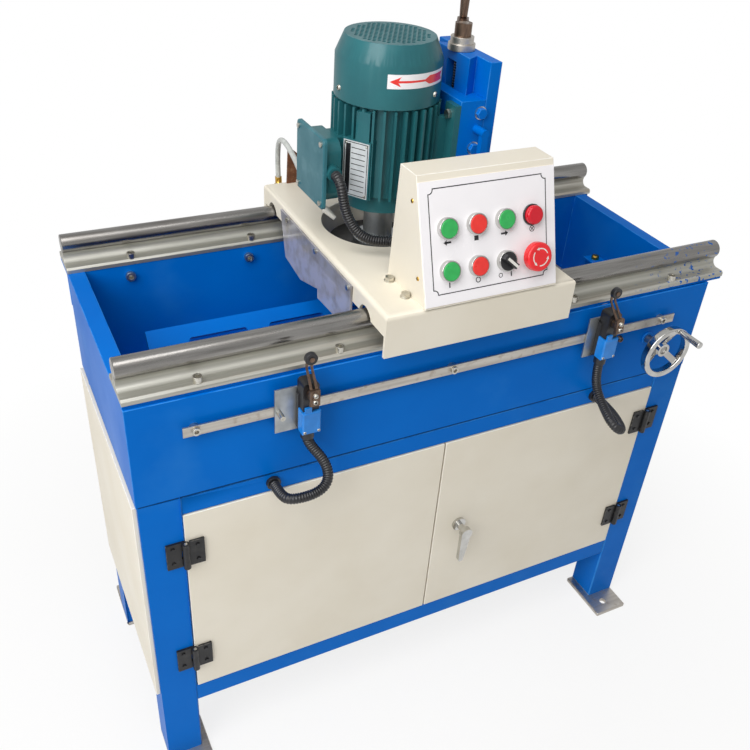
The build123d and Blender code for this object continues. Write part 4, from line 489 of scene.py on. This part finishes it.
for name, setup in cordSetup.items():
    node = setup["node"]
    points = routePoints(name, setup["route"])
    length = sum((b - a).length for a, b in zip(points, points[1:]))
    if setup["ribbed"]:
        count = round(length / (rib["pitch"] * mm)) * len(rib["wave"])
        crest, root = rib["crest"], rib["root"]
    else:
        count = round(length / hose["spacing"])
        crest = root = hose["radius"]
    rings = []
    stations = [length * step / count for step in range(count + 1)]
    for step, (place, heading) in enumerate(along(points, stations)):
        swell = rib["wave"][step % len(rib["wave"])] if 0 < step < count else 0.0
        rings.append((place, heading, (root + (crest - root) * swell) * mm))
    bm = bmesh.new()
    makeTube(bm, rings, cordSegments)
    blended = name == "motorConduit"
    cord = addPiece(bm, name, None if blended else bodyOf[node],
                    [blackNylon if setup["ribbed"] else paleHose], (node,),
                    sharp=cordSharp)
    cord.modifiers.clear()
    if blended:
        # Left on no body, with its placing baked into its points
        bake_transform(cord)
    print("cord", name, "length", round(length, 4))


def shellsOf(bm):
    # Faces that hang together over shared edges: one group for each solid
    for face in bm.faces:
        face.tag = False
    shells = []
    for seed in bm.faces:
        if seed.tag:
            continue
        seed.tag = True
        shell = []
        queue = [seed]
        while queue:
            face = queue.pop()
            shell.append(face)
            for edge in face.edges:
                for other in edge.link_faces:
                    if len(edge.link_faces) == 2 and not other.tag:
                        other.tag = True
                        queue.append(other)
        shells.append(shell)
    return shells


def shellBox(shell):
    corners = [vert.co for face in shell for vert in face.verts]
    low = Vector([min(corner[axis] for corner in corners) for axis in range(3)])
    high = Vector([max(corner[axis] for corner in corners) for axis in range(3)])
    return low, high


# Weld in metres, angles in degrees, and the room that a rounded edge needs, in its own widths
dressing = {"weld": 2e-6, "flat": 1.0, "corner": 30, "room": 2.4}


def dressNode(node, edge, materials, choose=None):
    # A copy of a CAD piece with its edges rounded and a finish on each of its solids
    bm = bmesh.new()
    bm.from_mesh(nodes[node].data)
    # Rounded faces are marked for the worn edge colour, which is partly a painted highlight
    wearAndHighlight = bm.faces.layers.float.new("edgeWearAndHighlight")
    bmesh.ops.remove_doubles(bm, verts=bm.verts, dist=dressing["weld"])
    if choose:
        for shell in shellsOf(bm):
            number = choose(*shellBox(shell))
            for face in shell:
                face.material_index = number
    bmesh.ops.dissolve_limit(bm, angle_limit=math.radians(dressing["flat"]), verts=bm.verts,
                             edges=bm.edges)
    if edge:
        # Edges next to very short ones stay sharp, so that these don't hold back the rest
        room = dressing["room"] * edge * mm
        short = {vert for line in bm.edges if line.calc_length() <= room for vert in line.verts}
        corners = [line for line in bm.edges
                   if len(line.link_faces) == 2 and short.isdisjoint(line.verts)
                   and line.calc_face_angle() > math.radians(dressing["corner"])]
        made = bmesh.ops.bevel(bm, geom=corners, offset=edge * mm, offset_type="OFFSET",
                               segments=2, profile=0.5, affect="EDGES", clamp_overlap=True,
                               material=-1)
        for face in made["faces"]:
            face[wearAndHighlight] = 1.0
    return addPiece(bm, node + "_finish", bodyOf[node], materials, (node,))


def bySize(axis, least, inside, outside):
    # Picks a finish by how far a solid reaches along one axis
    return lambda low, high: inside if high[axis] - low[axis] > least else outside


# Rounding of the edges in millimetres, and the finish
plainFinish = {
    "trough": (1.0, blueEnamel), "rail_bearers": (0.8, blueEnamel), "knife_bed": (1.0, blueEnamel),
    "column": (1.0, blueEnamel), "clamp_lever": (1.0, blueEnamel), "slide_block": (0.8, blueEnamel),
    "cabinet_panels": (0.8, creamPowder), "carriage_plate": (0.8, creamPowder),
    "control_box": (0.8, creamPowder), "wheel_guard": (0.4, creamPowder),
    "fan_cover": (0.5, tealEnamel), "rail_shafts": (0.8, groundSteel),
    "bed_shaft": (0.3, machinedSteel), "worm_shaft": (0.5, machinedSteel),
    "rail_supports": (0.4, millAluminium), "bearing_blocks": (0.6, millAluminium),
    "carriage_bolts": (0.3, zincPlate), "rail_screws": (0.3, zincPlate),
    "handwheel": (0.6, chromePlate), "handwheel_grip": (0.4, chromePlate),
    "door_latch": (1.2, chromePlate), "travel_rack": (0.3, machinedSteel),
    "travel_pinion": (0.3, machinedSteel), "feed_crank": (0.8, bronzeSteel),
    "crank_grip": (0.4, bronzeSteel), "spindle": (0.5, galvanisedSheet),
    "feed_screw": (0.5, rolledSteel), "left_limit_lever": (0.2, bronzeSteel),
    "right_limit_lever": (0.2, bronzeSteel), "switch_bodies": (0.4, blackNylon),
    "left_limit_roller": (0.0, blackNylon), "right_limit_roller": (0.0, blackNylon),
    "selector_knob": (0.4, blackNylon), "switch_covers": (0.3, blueAbs),
    "travel_left_button": (0.0, greenCap), "travel_right_button": (0.0, greenCap),
    "wheel_start_button": (0.0, greenCap), "travel_stop_button": (0.0, redCap),
    "wheel_stop_button": (0.0, redCap), "estop_button": (0.0, mushroomRed),
    "control_panel": (0.2, panelFilm),
}
for node, (edge, material) in plainFinish.items():
    dressNode(node, edge, [material])

# Foot plates are left bare, and the wheel's upward faces are black as painted shade
footTop = 0.0095
shadedTopSlope = 0.3
frameFinish = dressNode("frame", 2.5, [blueEnamel, rolledSteel])
for polygon in frameFinish.data.polygons:
    polygon.material_index = 1 if polygon.center.z < footTop else 0
wheelFinish = dressNode("grinding_wheel", 0.8, [abrasive, blackPaintAndShade])
# Faces turned upward get black: painted shade inside the wheel guard
for polygon in wheelFinish.data.polygons:
    polygon.material_index = 1 if polygon.normal.z > shadedTopSlope else 0

# Nodes of several materials: rounding, finishes, and a rule on each solid's size in metres
mixedFinish = {
    "left_door": (0.8, [creamPowder, blackPaintAndShade], bySize(0, 0.2, 0, 1)),
    "right_door": (0.8, [creamPowder, blackPaintAndShade], bySize(0, 0.2, 0, 1)),
    "hinge_frame_leaves": (
        0.6, [blackPaintAndShade, zincPlate],
        lambda low, high: 1 if high.z - low.z > 0.04 and high.x - low.x < 0.006 else 0),
    "limit_bar": (
        0.3, [rolledSteel, galvanisedSheet, zincPlate],
        lambda low, high: 0 if high.x - low.x > 0.5 else 1 if high.z - low.z > 0.05 else 2),
    "bed_supports": (0.6, [blueEnamel, turnedBrass], bySize(0, 0.02, 0, 1)),
    "splash_guards": (0.3, [clearAcrylic, zincPlate], bySize(2, 0.03, 0, 1)),
    "button_bezels": (
        0.3, [chromePlate, blackNylon, lampLens],
        lambda low, high: 2 if 0.0265 < high.x - low.x < 0.028
        else 0 if high.x - low.x > 0.03 and high.y - low.y > 0.034 else 1),
    "motor_frame": (0.5, [tealEnamel, zincPlate], bySize(2, 0.05, 0, 1)),
    "terminal_box": (
        0.6, [tealEnamel, tealLid, zincPlate],
        lambda low, high: 1 if high.z - low.z > 0.1 else 2 if high.z - low.z < 0.012 else 0),
    "coolant_nozzle": (
        0.3, [turnedBrass, whiteNylon, rustedPlate],
        lambda low, high: 2 if high.x - low.x > 0.03 else 0 if high.z - low.z > 0.025 else 1),
    "coolant_unit": (0.6, [galvanisedSheet, tealEnamel], bySize(1, 0.2, 0, 1)),
    "electrics_plate": (0.5, [galvanisedSheet, greyPlastic], bySize(2, 0.2, 0, 1)),
    "travel_gearmotor": (0.5, [blackPaintAndShade, zincPlate], bySize(2, 0.03, 0, 1)),
}
for node, (edge, materials, choose) in mixedFinish.items():
    dressNode(node, edge, materials, choose)
print("CAD pieces dressed", len(plainFinish) + len(mixedFinish) + 2)


def oblong(width, height):
    return [(-width / 2, -height / 2), (width / 2, -height / 2),
            (width / 2, height / 2), (-width / 2, height / 2)]


def flatShape(bm, points, place, thickness):
    # A flat outline in millimetres, given a thickness outward
    face = bm.faces.new([bm.verts.new((place[0] + x, place[1] + y, place[2])) for x, y in points])
    face.normal_update()
    bmesh.ops.solidify(bm, geom=[face], thickness=-thickness)


def raisedRim(bm, face, width, thickness):
    # The outer strip of a flat face, given a thickness outward
    bm.normal_update()
    strip = bmesh.ops.inset_region(bm, faces=[face], thickness=width, use_boundary=True,
                                   use_even_offset=True)["faces"]
    bmesh.ops.delete(bm, geom=[face], context="FACES_ONLY")
    bm.normal_update()
    bmesh.ops.solidify(bm, geom=strip, thickness=-thickness)


def flatRing(bm, place, radius, width, thickness):
    disc = bmesh.ops.create_circle(bm, cap_ends=True, segments=28, radius=radius,
                                   matrix=Matrix.Translation(place))["verts"]
    raisedRim(bm, disc[0].link_faces[0], width, thickness)


def addPrint(bm, matrix, name, body, material):
    bmesh.ops.recalc_face_normals(bm, faces=bm.faces)
    bm.transform(matrix)
    addPiece(bm, name, body, [material])


# Print on the control panel: a border line with rounded-in corners and plain signs
panelFrame = {"origin": (0, -222, 870), "rise": (0, 59, 174), "face": 1.5}
panelPrint = {"left": -73, "right": 119, "low": 18, "high": 164.5, "notch": 7, "round": 5.5,
              "line": 1.4, "ink": 0.12, "drop": 20}
deviceColumns = [-46.5 + 46.7 * step for step in range(4)]
deviceRows = (109, 50)
signs = {
    "arrow": [(-6, 0), (-1, 4), (-1, 1.4), (6, 1.4), (6, -1.4), (-1, -1.4), (-1, -4)],
    "square": oblong(6.8, 6.8), "bar": oblong(1.8, 8), "crossBar": oblong(1.0, 8.4),
    "lampRing": (4.4, 0.9), "stopRing": (4.2, 1.2), "offRing": (3.4, 1.0), "apart": 9}
rise = Vector(panelFrame["rise"]).normalized()
outward = Vector((1, 0, 0)).cross(rise)
panelMatrix = (Matrix.Translation(Vector(panelFrame["origin"]) * mm)
               @ Matrix((Vector((1, 0, 0)), rise, outward)).transposed().to_4x4()
               @ Matrix.Scale(mm, 4))
bm = bmesh.new()
left, right, low, high = (panelPrint[side] for side in ("left", "right", "low", "high"))
notch, face, ink = panelPrint["notch"], panelFrame["face"], panelPrint["ink"]
steps = [
    (left + notch, low), (right - notch, low), (right - notch, low + notch),
    (right, low + notch), (right, high - notch), (right - notch, high - notch),
    (right - notch, high), (left + notch, high), (left + notch, high - notch),
    (left, high - notch), (left, low + notch), (left + notch, low + notch)]
corners = [bm.verts.new((x, y, face)) for x, y in steps]
bm.faces.new(corners)
bmesh.ops.bevel(bm, geom=corners[2::3], offset=panelPrint["round"], offset_type="OFFSET",
                segments=5, profile=0.5, affect="VERTICES", material=-1)
raisedRim(bm, list(bm.faces)[0], panelPrint["line"], ink)
upper, lower = (row - panelPrint["drop"] for row in deviceRows)
flatShape(bm, signs["arrow"], (deviceColumns[0], upper, face), ink)
flatShape(bm, signs["square"], (deviceColumns[1], upper, face), ink)
flatShape(bm, [(-x, y) for x, y in reversed(signs["arrow"])], (deviceColumns[2], upper, face), ink)
flatRing(bm, (deviceColumns[3], upper, face), *signs["lampRing"], ink)
for turn in (45, 135):
    spun = [Matrix.Rotation(math.radians(turn), 2) @ Vector(at) for at in signs["crossBar"]]
    flatShape(bm, spun, (deviceColumns[3], upper, face), ink)
flatShape(bm, signs["bar"], (deviceColumns[0], lower, face), ink)
flatRing(bm, (deviceColumns[1], lower, face), *signs["stopRing"], ink)
flatRing(bm, (deviceColumns[2] - signs["apart"], lower, face), *signs["offRing"], ink)
flatShape(bm, signs["bar"], (deviceColumns[2] + signs["apart"], lower, face), ink)
addPrint(bm, panelMatrix, "panelPrint", "carriage", panelInk)

# Turning marks on the mushroom button: three arcs, each with a point
stopMarks = {"inner": 11.6, "outer": 13.2, "top": 21.35, "turns": (20, 140, 260), "sweep": 82,
             "steps": 12, "point": ((10.2, -0.4), (14.6, -0.4), (12.4, 4.2)), "ink": 0.15}
bm = bmesh.new()
for turn in stopMarks["turns"]:
    start = Matrix.Rotation(math.radians(turn), 4, "Z")
    tip = Matrix.Rotation(math.radians(turn + stopMarks["sweep"]), 4, "Z")
    ends = [bm.verts.new(start @ Vector((stopMarks[side], 0, stopMarks["top"])))
            for side in ("inner", "outer")]
    bmesh.ops.spin(bm, geom=ends + [bm.edges.new(ends)], cent=(0, 0, 0), axis=(0, 0, 1),
                   dvec=(0, 0, 0), angle=math.radians(stopMarks["sweep"]),
                   steps=stopMarks["steps"], use_merge=False)
    bm.faces.new([bm.verts.new(tip @ Vector((x, y, stopMarks["top"])))
                  for x, y in stopMarks["point"]])
bmesh.ops.recalc_face_normals(bm, faces=bm.faces)
bmesh.ops.solidify(bm, geom=list(bm.faces), thickness=-stopMarks["ink"])
stopPlace = panelMatrix @ Matrix.Translation((deviceColumns[3], deviceRows[1], 0))
addPrint(bm, stopPlace, "stopMarks", "estop", whiteNylon)

# White pointer along the selector's bar
pointer = {"middle": 1.95, "length": 20.9, "width": 4.0, "top": 19.0, "turn": -42, "ink": 0.15}
bm = bmesh.new()
flatShape(bm, oblong(pointer["length"], pointer["width"]), (pointer["middle"], 0, pointer["top"]),
          pointer["ink"])
pointerPlace = (panelMatrix @ Matrix.Translation((deviceColumns[2], deviceRows[1], 0))
                @ Matrix.Rotation(math.radians(pointer["turn"]), 4, "Z"))
addPrint(bm, pointerPlace, "selectorPointer", "selector", whiteNylon)
print("panel printed")

# Turning sense on the fan cover: a white band with a plain red arrow, bent round the drum
# Outlines are in degrees round the drum and millimetres of height
drum = {"x": -21, "y": 60, "radius": 80.5, "step": 4}
turnBand = {"outline": [(-118, 1110), (-42, 1110), (-42, 1130), (-118, 1130)],
            "lift": 0.0, "thickness": 0.2}
turnArrow = {"outline": [
    (-116, 1120), (-104, 1113), (-106.5, 1118.4), (-76, 1118.6), (-70, 1114), (-44, 1114),
    (-48, 1120), (-44, 1126), (-70, 1126), (-76, 1121.4), (-106.5, 1121.6), (-104, 1127)],
    "lift": 0.15, "thickness": 0.15}


def drumPatch(name, patch, material):
    bm = bmesh.new()
    bm.faces.new([bm.verts.new((turn, 0, height)) for turn, height in patch["outline"]])
    turns = [turn for turn, height in patch["outline"]]
    cut = math.floor(min(turns)) + drum["step"]
    while cut < max(turns):
        bmesh.ops.bisect_plane(bm, geom=list(bm.verts) + list(bm.edges) + list(bm.faces),
                               dist=1e-4, plane_co=(cut, 0, 0), plane_no=(1, 0, 0))
        cut += drum["step"]
    made = bmesh.ops.extrude_face_region(bm, geom=list(bm.faces))["geom"]
    bmesh.ops.translate(bm, verts=[item for item in made if isinstance(item, bmesh.types.BMVert)],
                        vec=(0, -patch["thickness"], 0))
    for vert in bm.verts:
        turn = math.radians(vert.co.x)
        reach = drum["radius"] + patch["lift"] - vert.co.y
        vert.co = Vector((drum["x"] + reach * math.cos(turn), drum["y"] + reach * math.sin(turn),
                          vert.co.z)) * mm
    bmesh.ops.recalc_face_normals(bm, faces=bm.faces)
    addPiece(bm, name, "head", [material], sharp=30)


drumPatch("turnBand", turnBand, panelFilm)
drumPatch("turnArrow", turnArrow, redCap)

# Blank rating plate riveted on its flat pad: a border, a dark strip and empty rows
namePlate = {
    "turn": -146, "reach": 83, "middle": 985, "width": 44, "height": 86, "thickness": 0.7,
    "margin": 1.6, "border": 1.2, "strip": 8, "stripIn": 3, "rows": 10, "line": 1.2, "spare": 9,
    "ink": 0.06, "rivetIn": 4.5, "rivet": (1.8, 0.9)}
plateAngle = math.radians(namePlate["turn"])
plateOut = Vector((math.cos(plateAngle), math.sin(plateAngle), 0))
plateUp = Vector((0, 0, 1))
platePlace = Vector((drum["x"], drum["y"], namePlate["middle"])) + plateOut * namePlate["reach"]
plateMatrix = (Matrix.Translation(platePlace * mm)
               @ Matrix((plateUp.cross(plateOut), plateUp, plateOut)).transposed().to_4x4()
               @ Matrix.Scale(mm, 4))
plateFace, ink = namePlate["thickness"], namePlate["ink"]
bm = bmesh.new()
flatShape(bm, oblong(namePlate["width"], namePlate["height"]), (0, 0, 0), plateFace)
addPrint(bm, plateMatrix, "motorPlate", "head", platePrint)
bm = bmesh.new()
inkWidth = namePlate["width"] - 2 * namePlate["margin"]
inkHeight = namePlate["height"] - 2 * namePlate["margin"]
strip = namePlate["strip"]
plateInk = bm.faces.new([bm.verts.new((x, y, plateFace)) for x, y in oblong(inkWidth, inkHeight)])
raisedRim(bm, plateInk, namePlate["border"], ink)
flatShape(bm, oblong(strip, inkHeight - 2 * namePlate["stripIn"]),
          (strip / 2 - inkWidth / 2 + namePlate["stripIn"], 0, plateFace), ink)
for row in range(1, namePlate["rows"]):
    flatShape(bm, oblong(inkWidth - strip - namePlate["spare"], namePlate["line"]),
              (strip / 2, inkHeight * (row / namePlate["rows"] - 0.5), plateFace), ink)
addPrint(bm, plateMatrix, "motorPlatePrint", "head", panelInk)

# Shares of a screw head's radius, or of its height for the rim, and its drive's arms in degrees
screwHead = {"taper": 0.78, "round": 0.22, "armLength": 1.15, "armWidth": 0.24, "armDepth": 0.12,
             "socket": 0.5, "socketDepth": 0.1, "rimFrom": 0.9,
             "arms": {"cross": (0, 90), "slot": (30,), "socket": (), "plain": ()}}


def addScrew(bm, place, heading, radius, height, drive="cross"):
    # A round head with its drive as a thin dark inlay
    radius, height, heading = radius * mm, height * mm, Vector(heading).normalized()
    seat = (Matrix.Translation(Vector(place) * mm)
            @ heading.to_track_quat("Z", "Y").to_matrix().to_4x4())
    top = seat @ Matrix.Translation((0, 0, height))
    head = bmesh.ops.create_cone(
        bm, cap_ends=True, segments=20, radius1=radius, radius2=screwHead["taper"] * radius,
        depth=height, matrix=seat @ Matrix.Translation((0, 0, height / 2)))["verts"]
    upper = {vert for vert in head
             if (vert.co - seat.translation).dot(heading) > screwHead["rimFrom"] * height}
    rim = {edge for vert in upper for edge in vert.link_edges if upper.issuperset(edge.verts)}
    bmesh.ops.bevel(bm, geom=list(rim), offset=screwHead["round"] * radius, offset_type="OFFSET",
                    segments=2, profile=0.5, affect="EDGES", material=-1)
    inlay = []
    size = Matrix.Diagonal((*[screwHead[side] * radius for side in
                              ("armLength", "armWidth", "armDepth")], 1))
    for arm in screwHead["arms"][drive]:
        spun = Matrix.Rotation(math.radians(arm), 4, "Z")
        inlay += bmesh.ops.create_cube(bm, size=1.0, matrix=top @ spun @ size)["verts"]
    if drive == "socket":
        wide = screwHead["socket"] * radius
        inlay += bmesh.ops.create_cone(bm, cap_ends=True, segments=6, radius1=wide, radius2=wide,
                                       depth=screwHead["socketDepth"] * radius,
                                       matrix=top)["verts"]
    for side in {side for vert in inlay for side in vert.link_faces}:
        side.material_index = 1


# Screws round the fan cover's edge and rivets in the rating plate
coverScrew = {"turns": (-178, -57, 63), "height": 1095, "sunk": 0.3, "head": (4.4, 3.0)}
bm = bmesh.new()
for turn in coverScrew["turns"]:
    away = Vector((math.cos(math.radians(turn)), math.sin(math.radians(turn)), 0))
    middle = Vector((drum["x"], drum["y"], coverScrew["height"]))
    addScrew(bm, middle + away * (drum["radius"] - coverScrew["sunk"]), away, *coverScrew["head"])
addPiece(bm, "coverScrews", "head", [zincPlate, blackOxide])
bm = bmesh.new()
for x, y in oblong(*[namePlate[side] - 2 * namePlate["rivetIn"] for side in ("width", "height")]):
    addScrew(bm, (plateMatrix @ Vector((x, y, plateFace))) / mm, plateOut, *namePlate["rivet"],
             "socket")
addPiece(bm, "plateRivets", "head", [zincPlate, zincPlate])

# Steel washers under the hex heads on the slide block's front and on the motor's side feet
washers = {
    "radius": 10, "thickness": 1.6,
    "front": ((100, -17, 1064), (94, -17, 1010), (94, -17, 972)),
    "side": ((57, -2.5, 962), (57, -2.5, 1062), (57, 122.5, 962), (57, 122.5, 1062))}
washerRadius, washerDepth = washers["radius"] * mm, washers["thickness"] * mm
bm = bmesh.new()
for side, heading in (("front", (0, -1, 0)), ("side", (-1, 0, 0))):
    turn = Vector(heading).to_track_quat("Z", "Y").to_matrix().to_4x4()
    lift = Matrix.Translation((0, 0, washerDepth / 2))
    for place in washers[side]:
        bmesh.ops.create_cone(bm, cap_ends=True, segments=32, radius1=washerRadius,
                              radius2=washerRadius, depth=washerDepth,
                              matrix=Matrix.Translation(Vector(place) * mm) @ turn @ lift)
addPiece(bm, "headWashers", "head", [zincPlate])

# Brass screws in the sides of the control box
boxScrew = {"left": -86.9, "right": 134.9, "places": ((-159.5, 1006.8), (-193.9, 905.9)),
            "head": (3.4, 1.6)}
bm = bmesh.new()
for y, z in boxScrew["places"]:
    addScrew(bm, (boxScrew["left"], y, z), (-1, 0, 0), *boxScrew["head"])
    addScrew(bm, (boxScrew["right"], y, z), (1, 0, 0), *boxScrew["head"])
addPiece(bm, "boxScrews", "carriage", [turnedBrass, blackOxide])


def addBlock(bm, low, high):
    # A block between two corners in millimetres
    place = [(a + b) / 2 * mm for a, b in zip(low, high)]
    size = [(b - a) * mm for a, b in zip(low, high)]
    bmesh.ops.create_cube(bm, size=1.0,
                          matrix=Matrix.Translation(place) @ Matrix.Diagonal((*size, 1)))


# Clamp on each limit lever, with its two bright screws, and the corner screws of the covers
limitSwitches = {"left_limit": (-256, 0), "right_limit": (270, 8.4)}
clamp = {"half": 7.75, "rise": 13, "front": -239, "back": -233.5, "pivot": 776, "round": 1.1,
         "sunk": 0.2, "screwUp": 5.5, "slotHead": (4.0, 4.2), "socketHead": (4.0, 3.0)}
coverCorner = {"side": 10.5, "y": -229.8, "z": 712.5, "head": (2.4, 0.9)}
facing = (0, -1, 0)
for body, (x, tilt) in limitSwitches.items():
    pivot = clamp["pivot"]
    hub = Matrix.Translation((x * mm, 0, pivot * mm))
    lean = hub @ Matrix.Rotation(math.radians(-tilt), 4, "Y") @ hub.inverted()
    bm = bmesh.new()
    addBlock(bm, (x - clamp["half"], clamp["front"], pivot - clamp["rise"]),
             (x + clamp["half"], clamp["back"], pivot + clamp["rise"]))
    bmesh.ops.bevel(bm, geom=list(bm.edges), offset=clamp["round"] * mm, offset_type="OFFSET",
                    segments=2, profile=0.5, affect="EDGES", material=-1)
    bm.transform(lean)
    addPiece(bm, body + "_clamp", body, [bronzeSteel])
    bm = bmesh.new()
    seatY = clamp["front"] + clamp["sunk"]
    addScrew(bm, (x, seatY, pivot + clamp["screwUp"]), facing, *clamp["slotHead"], "slot")
    addScrew(bm, (x, seatY, pivot - clamp["screwUp"]), facing, *clamp["socketHead"], "socket")
    bm.transform(lean)
    addPiece(bm, body + "_screws", body, [zincPlate, blackOxide])
bm = bmesh.new()
for x, tilt in limitSwitches.values():
    for side in (-coverCorner["side"], coverCorner["side"]):
        addScrew(bm, (x + side, coverCorner["y"], coverCorner["z"]), facing, *coverCorner["head"])
addPiece(bm, "switchScrews", "base", [zincPlate, blackOxide])

# Bright rivet in each roller, and a domed bolt in the wall beside the right switch
rollerRivet = {"left_roller": (-256, -224.2, 830.5), "right_roller": (262, -224.2, 829.9),
               "head": (3.2, 1.0)}
wallBolt = {"place": (325, -190, 713), "head": (6.0, 7.0)}
for body in ("left_roller", "right_roller"):
    bm = bmesh.new()
    addScrew(bm, rollerRivet[body], facing, *rollerRivet["head"], "plain")
    addPiece(bm, body + "_rivet", body, [zincPlate])
bm = bmesh.new()
addScrew(bm, wallBolt["place"], facing, *wallBolt["head"], "slot")
addPiece(bm, "wallBolt", "base", [bronzeSteel, blackOxide])

# Dark strip along the seam where the trough stands on the front tube: painted shadow
seam = {"low": (-499, -190.25, 616.8), "high": (499, -189.5, 618.6)}
bm = bmesh.new()
addBlock(bm, seam["low"], seam["high"])
addPiece(bm, "troughSeamShadow", "base", [seamShadowPaint])

# Feed screw thread: a ridge run up the rod, greased nearly black
thread = {"x": 102, "y": 60, "low": 888, "high": 1120, "pitch": 4.0, "steps": 20,
          "profile": ((7.9, -1.6), (8.7, -0.5), (8.7, 0.5), (7.9, 1.6))}
bm = bmesh.new()
turns = (thread["high"] - thread["low"]) / thread["pitch"]
ridge = [bm.verts.new((thread["x"] * mm + radius * mm, thread["y"] * mm,
                       (thread["low"] + lift) * mm)) for radius, lift in thread["profile"]]
lines = [bm.edges.new(pair) for pair in zip(ridge, ridge[1:])]
bmesh.ops.spin(bm, geom=ridge + lines, cent=(thread["x"] * mm, thread["y"] * mm, 0),
               axis=(0, 0, 1), dvec=(0, 0, thread["pitch"] * mm / thread["steps"]),
               angle=2 * math.pi * turns, steps=round(turns * thread["steps"]), use_merge=False)
bmesh.ops.recalc_face_normals(bm, faces=bm.faces)
addPiece(bm, "feedThread", "feed", [blackOxide])
print("small fittings made")

# Pale floor, seen white away from the machine and with a soft shadow near it, in metres
studio = {"floor": "#F4F3F1", "floorSize": 30, "floorRough": 0.9, "near": 0.5, "far": 1.2,
          "white": 0.8, "sky": 0.3, "gloss": 0.5}
# Studio light from the left and from above
lamps = {
    "keyLamp": {"place": (-2.0, -1.1, 2.1), "aim": (-0.1, 0, 0.7), "size": 1.6, "power": 43},
    "topLamp": {"place": (-0.8, -0.8, 3.1), "aim": (0, 0, 0.7), "size": 1.8, "power": 32},
}


def seenRays(tree):
    # How much of the white background a ray sees: all for the eye, also through glass, a share
    # for a shiny face, and none where it only lights the machine
    rays = addNode(tree, "ShaderNodeLightPath").outputs
    seen = addNode(tree, "ShaderNodeMath", {
        0: rays["Is Camera Ray"], 1: rays["Is Transmission Ray"]}, operation="MAXIMUM").outputs[0]
    shiny = addNode(tree, "ShaderNodeMath", {
        0: rays["Is Glossy Ray"], 1: studio["gloss"]}, operation="MULTIPLY").outputs[0]
    return addNode(tree, "ShaderNodeMath", {0: seen, 1: shiny}, operation="MAXIMUM").outputs[0]


bm = bmesh.new()
bmesh.ops.create_grid(bm, x_segments=1, y_segments=1, size=studio["floorSize"] / 2)
floorMesh = bpy.data.meshes.new("studioFloor")
bm.to_mesh(floorMesh)
bm.free()
floorMaterial, floorTree, floorShader, floorPlace = startMaterial("paintedFloorPale", {
    "Roughness": studio["floorRough"], "Base Color": hexColour(studio["floor"])})
floorReach = addNode(floorTree, "ShaderNodeVectorMath", {
    0: floorPlace}, operation="LENGTH").outputs["Value"]
floorWhite = addNode(floorTree, "ShaderNodeMapRange", {
    "Value": floorReach, "From Min": studio["near"], "From Max": studio["far"],
    "To Min": studio["white"]}).outputs["Result"]
floorShare = addNode(floorTree, "ShaderNodeMath", {
    0: floorWhite, 1: seenRays(floorTree)}, operation="MULTIPLY").outputs[0]
floorGlow = addNode(floorTree, "ShaderNodeEmission", {"Color": hexColour("#FFFFFF")}).outputs[0]
floorMix = addNode(floorTree, "ShaderNodeMixShader", {
    0: floorShare, 1: floorShader.outputs[0], 2: floorGlow})
floorTree.links.new(floorMix.outputs[0], floorTree.nodes["Material Output"].inputs["Surface"])
floorMesh.materials.append(floorMaterial)
floor = bpy.data.objects.new("studioFloor", floorMesh)
scene.collection.objects.link(floor)
world = bpy.data.worlds.new("studioWorld")
world.use_nodes = True
scene.world = world
sky = world.node_tree.nodes["Background"]
skyLevel = addNode(world.node_tree, "ShaderNodeMapRange", {
    "Value": seenRays(world.node_tree), "To Min": studio["sky"], "To Max": 1.0})
sky.inputs["Color"].default_value = hexColour("#FFFFFF")
world.node_tree.links.new(skyLevel.outputs["Result"], sky.inputs["Strength"])
for name, lamp in lamps.items():
    light = bpy.data.lights.new(name, "AREA")
    light.energy = lamp["power"]
    light.size = lamp["size"]
    holder = bpy.data.objects.new(name, light)
    heading = Vector(lamp["aim"]) - Vector(lamp["place"])
    holder.matrix_world = (Matrix.Translation(lamp["place"])
                           @ heading.to_track_quat("-Z", "Y").to_matrix().to_4x4())
    scene.collection.objects.link(holder)
print("studio lit")
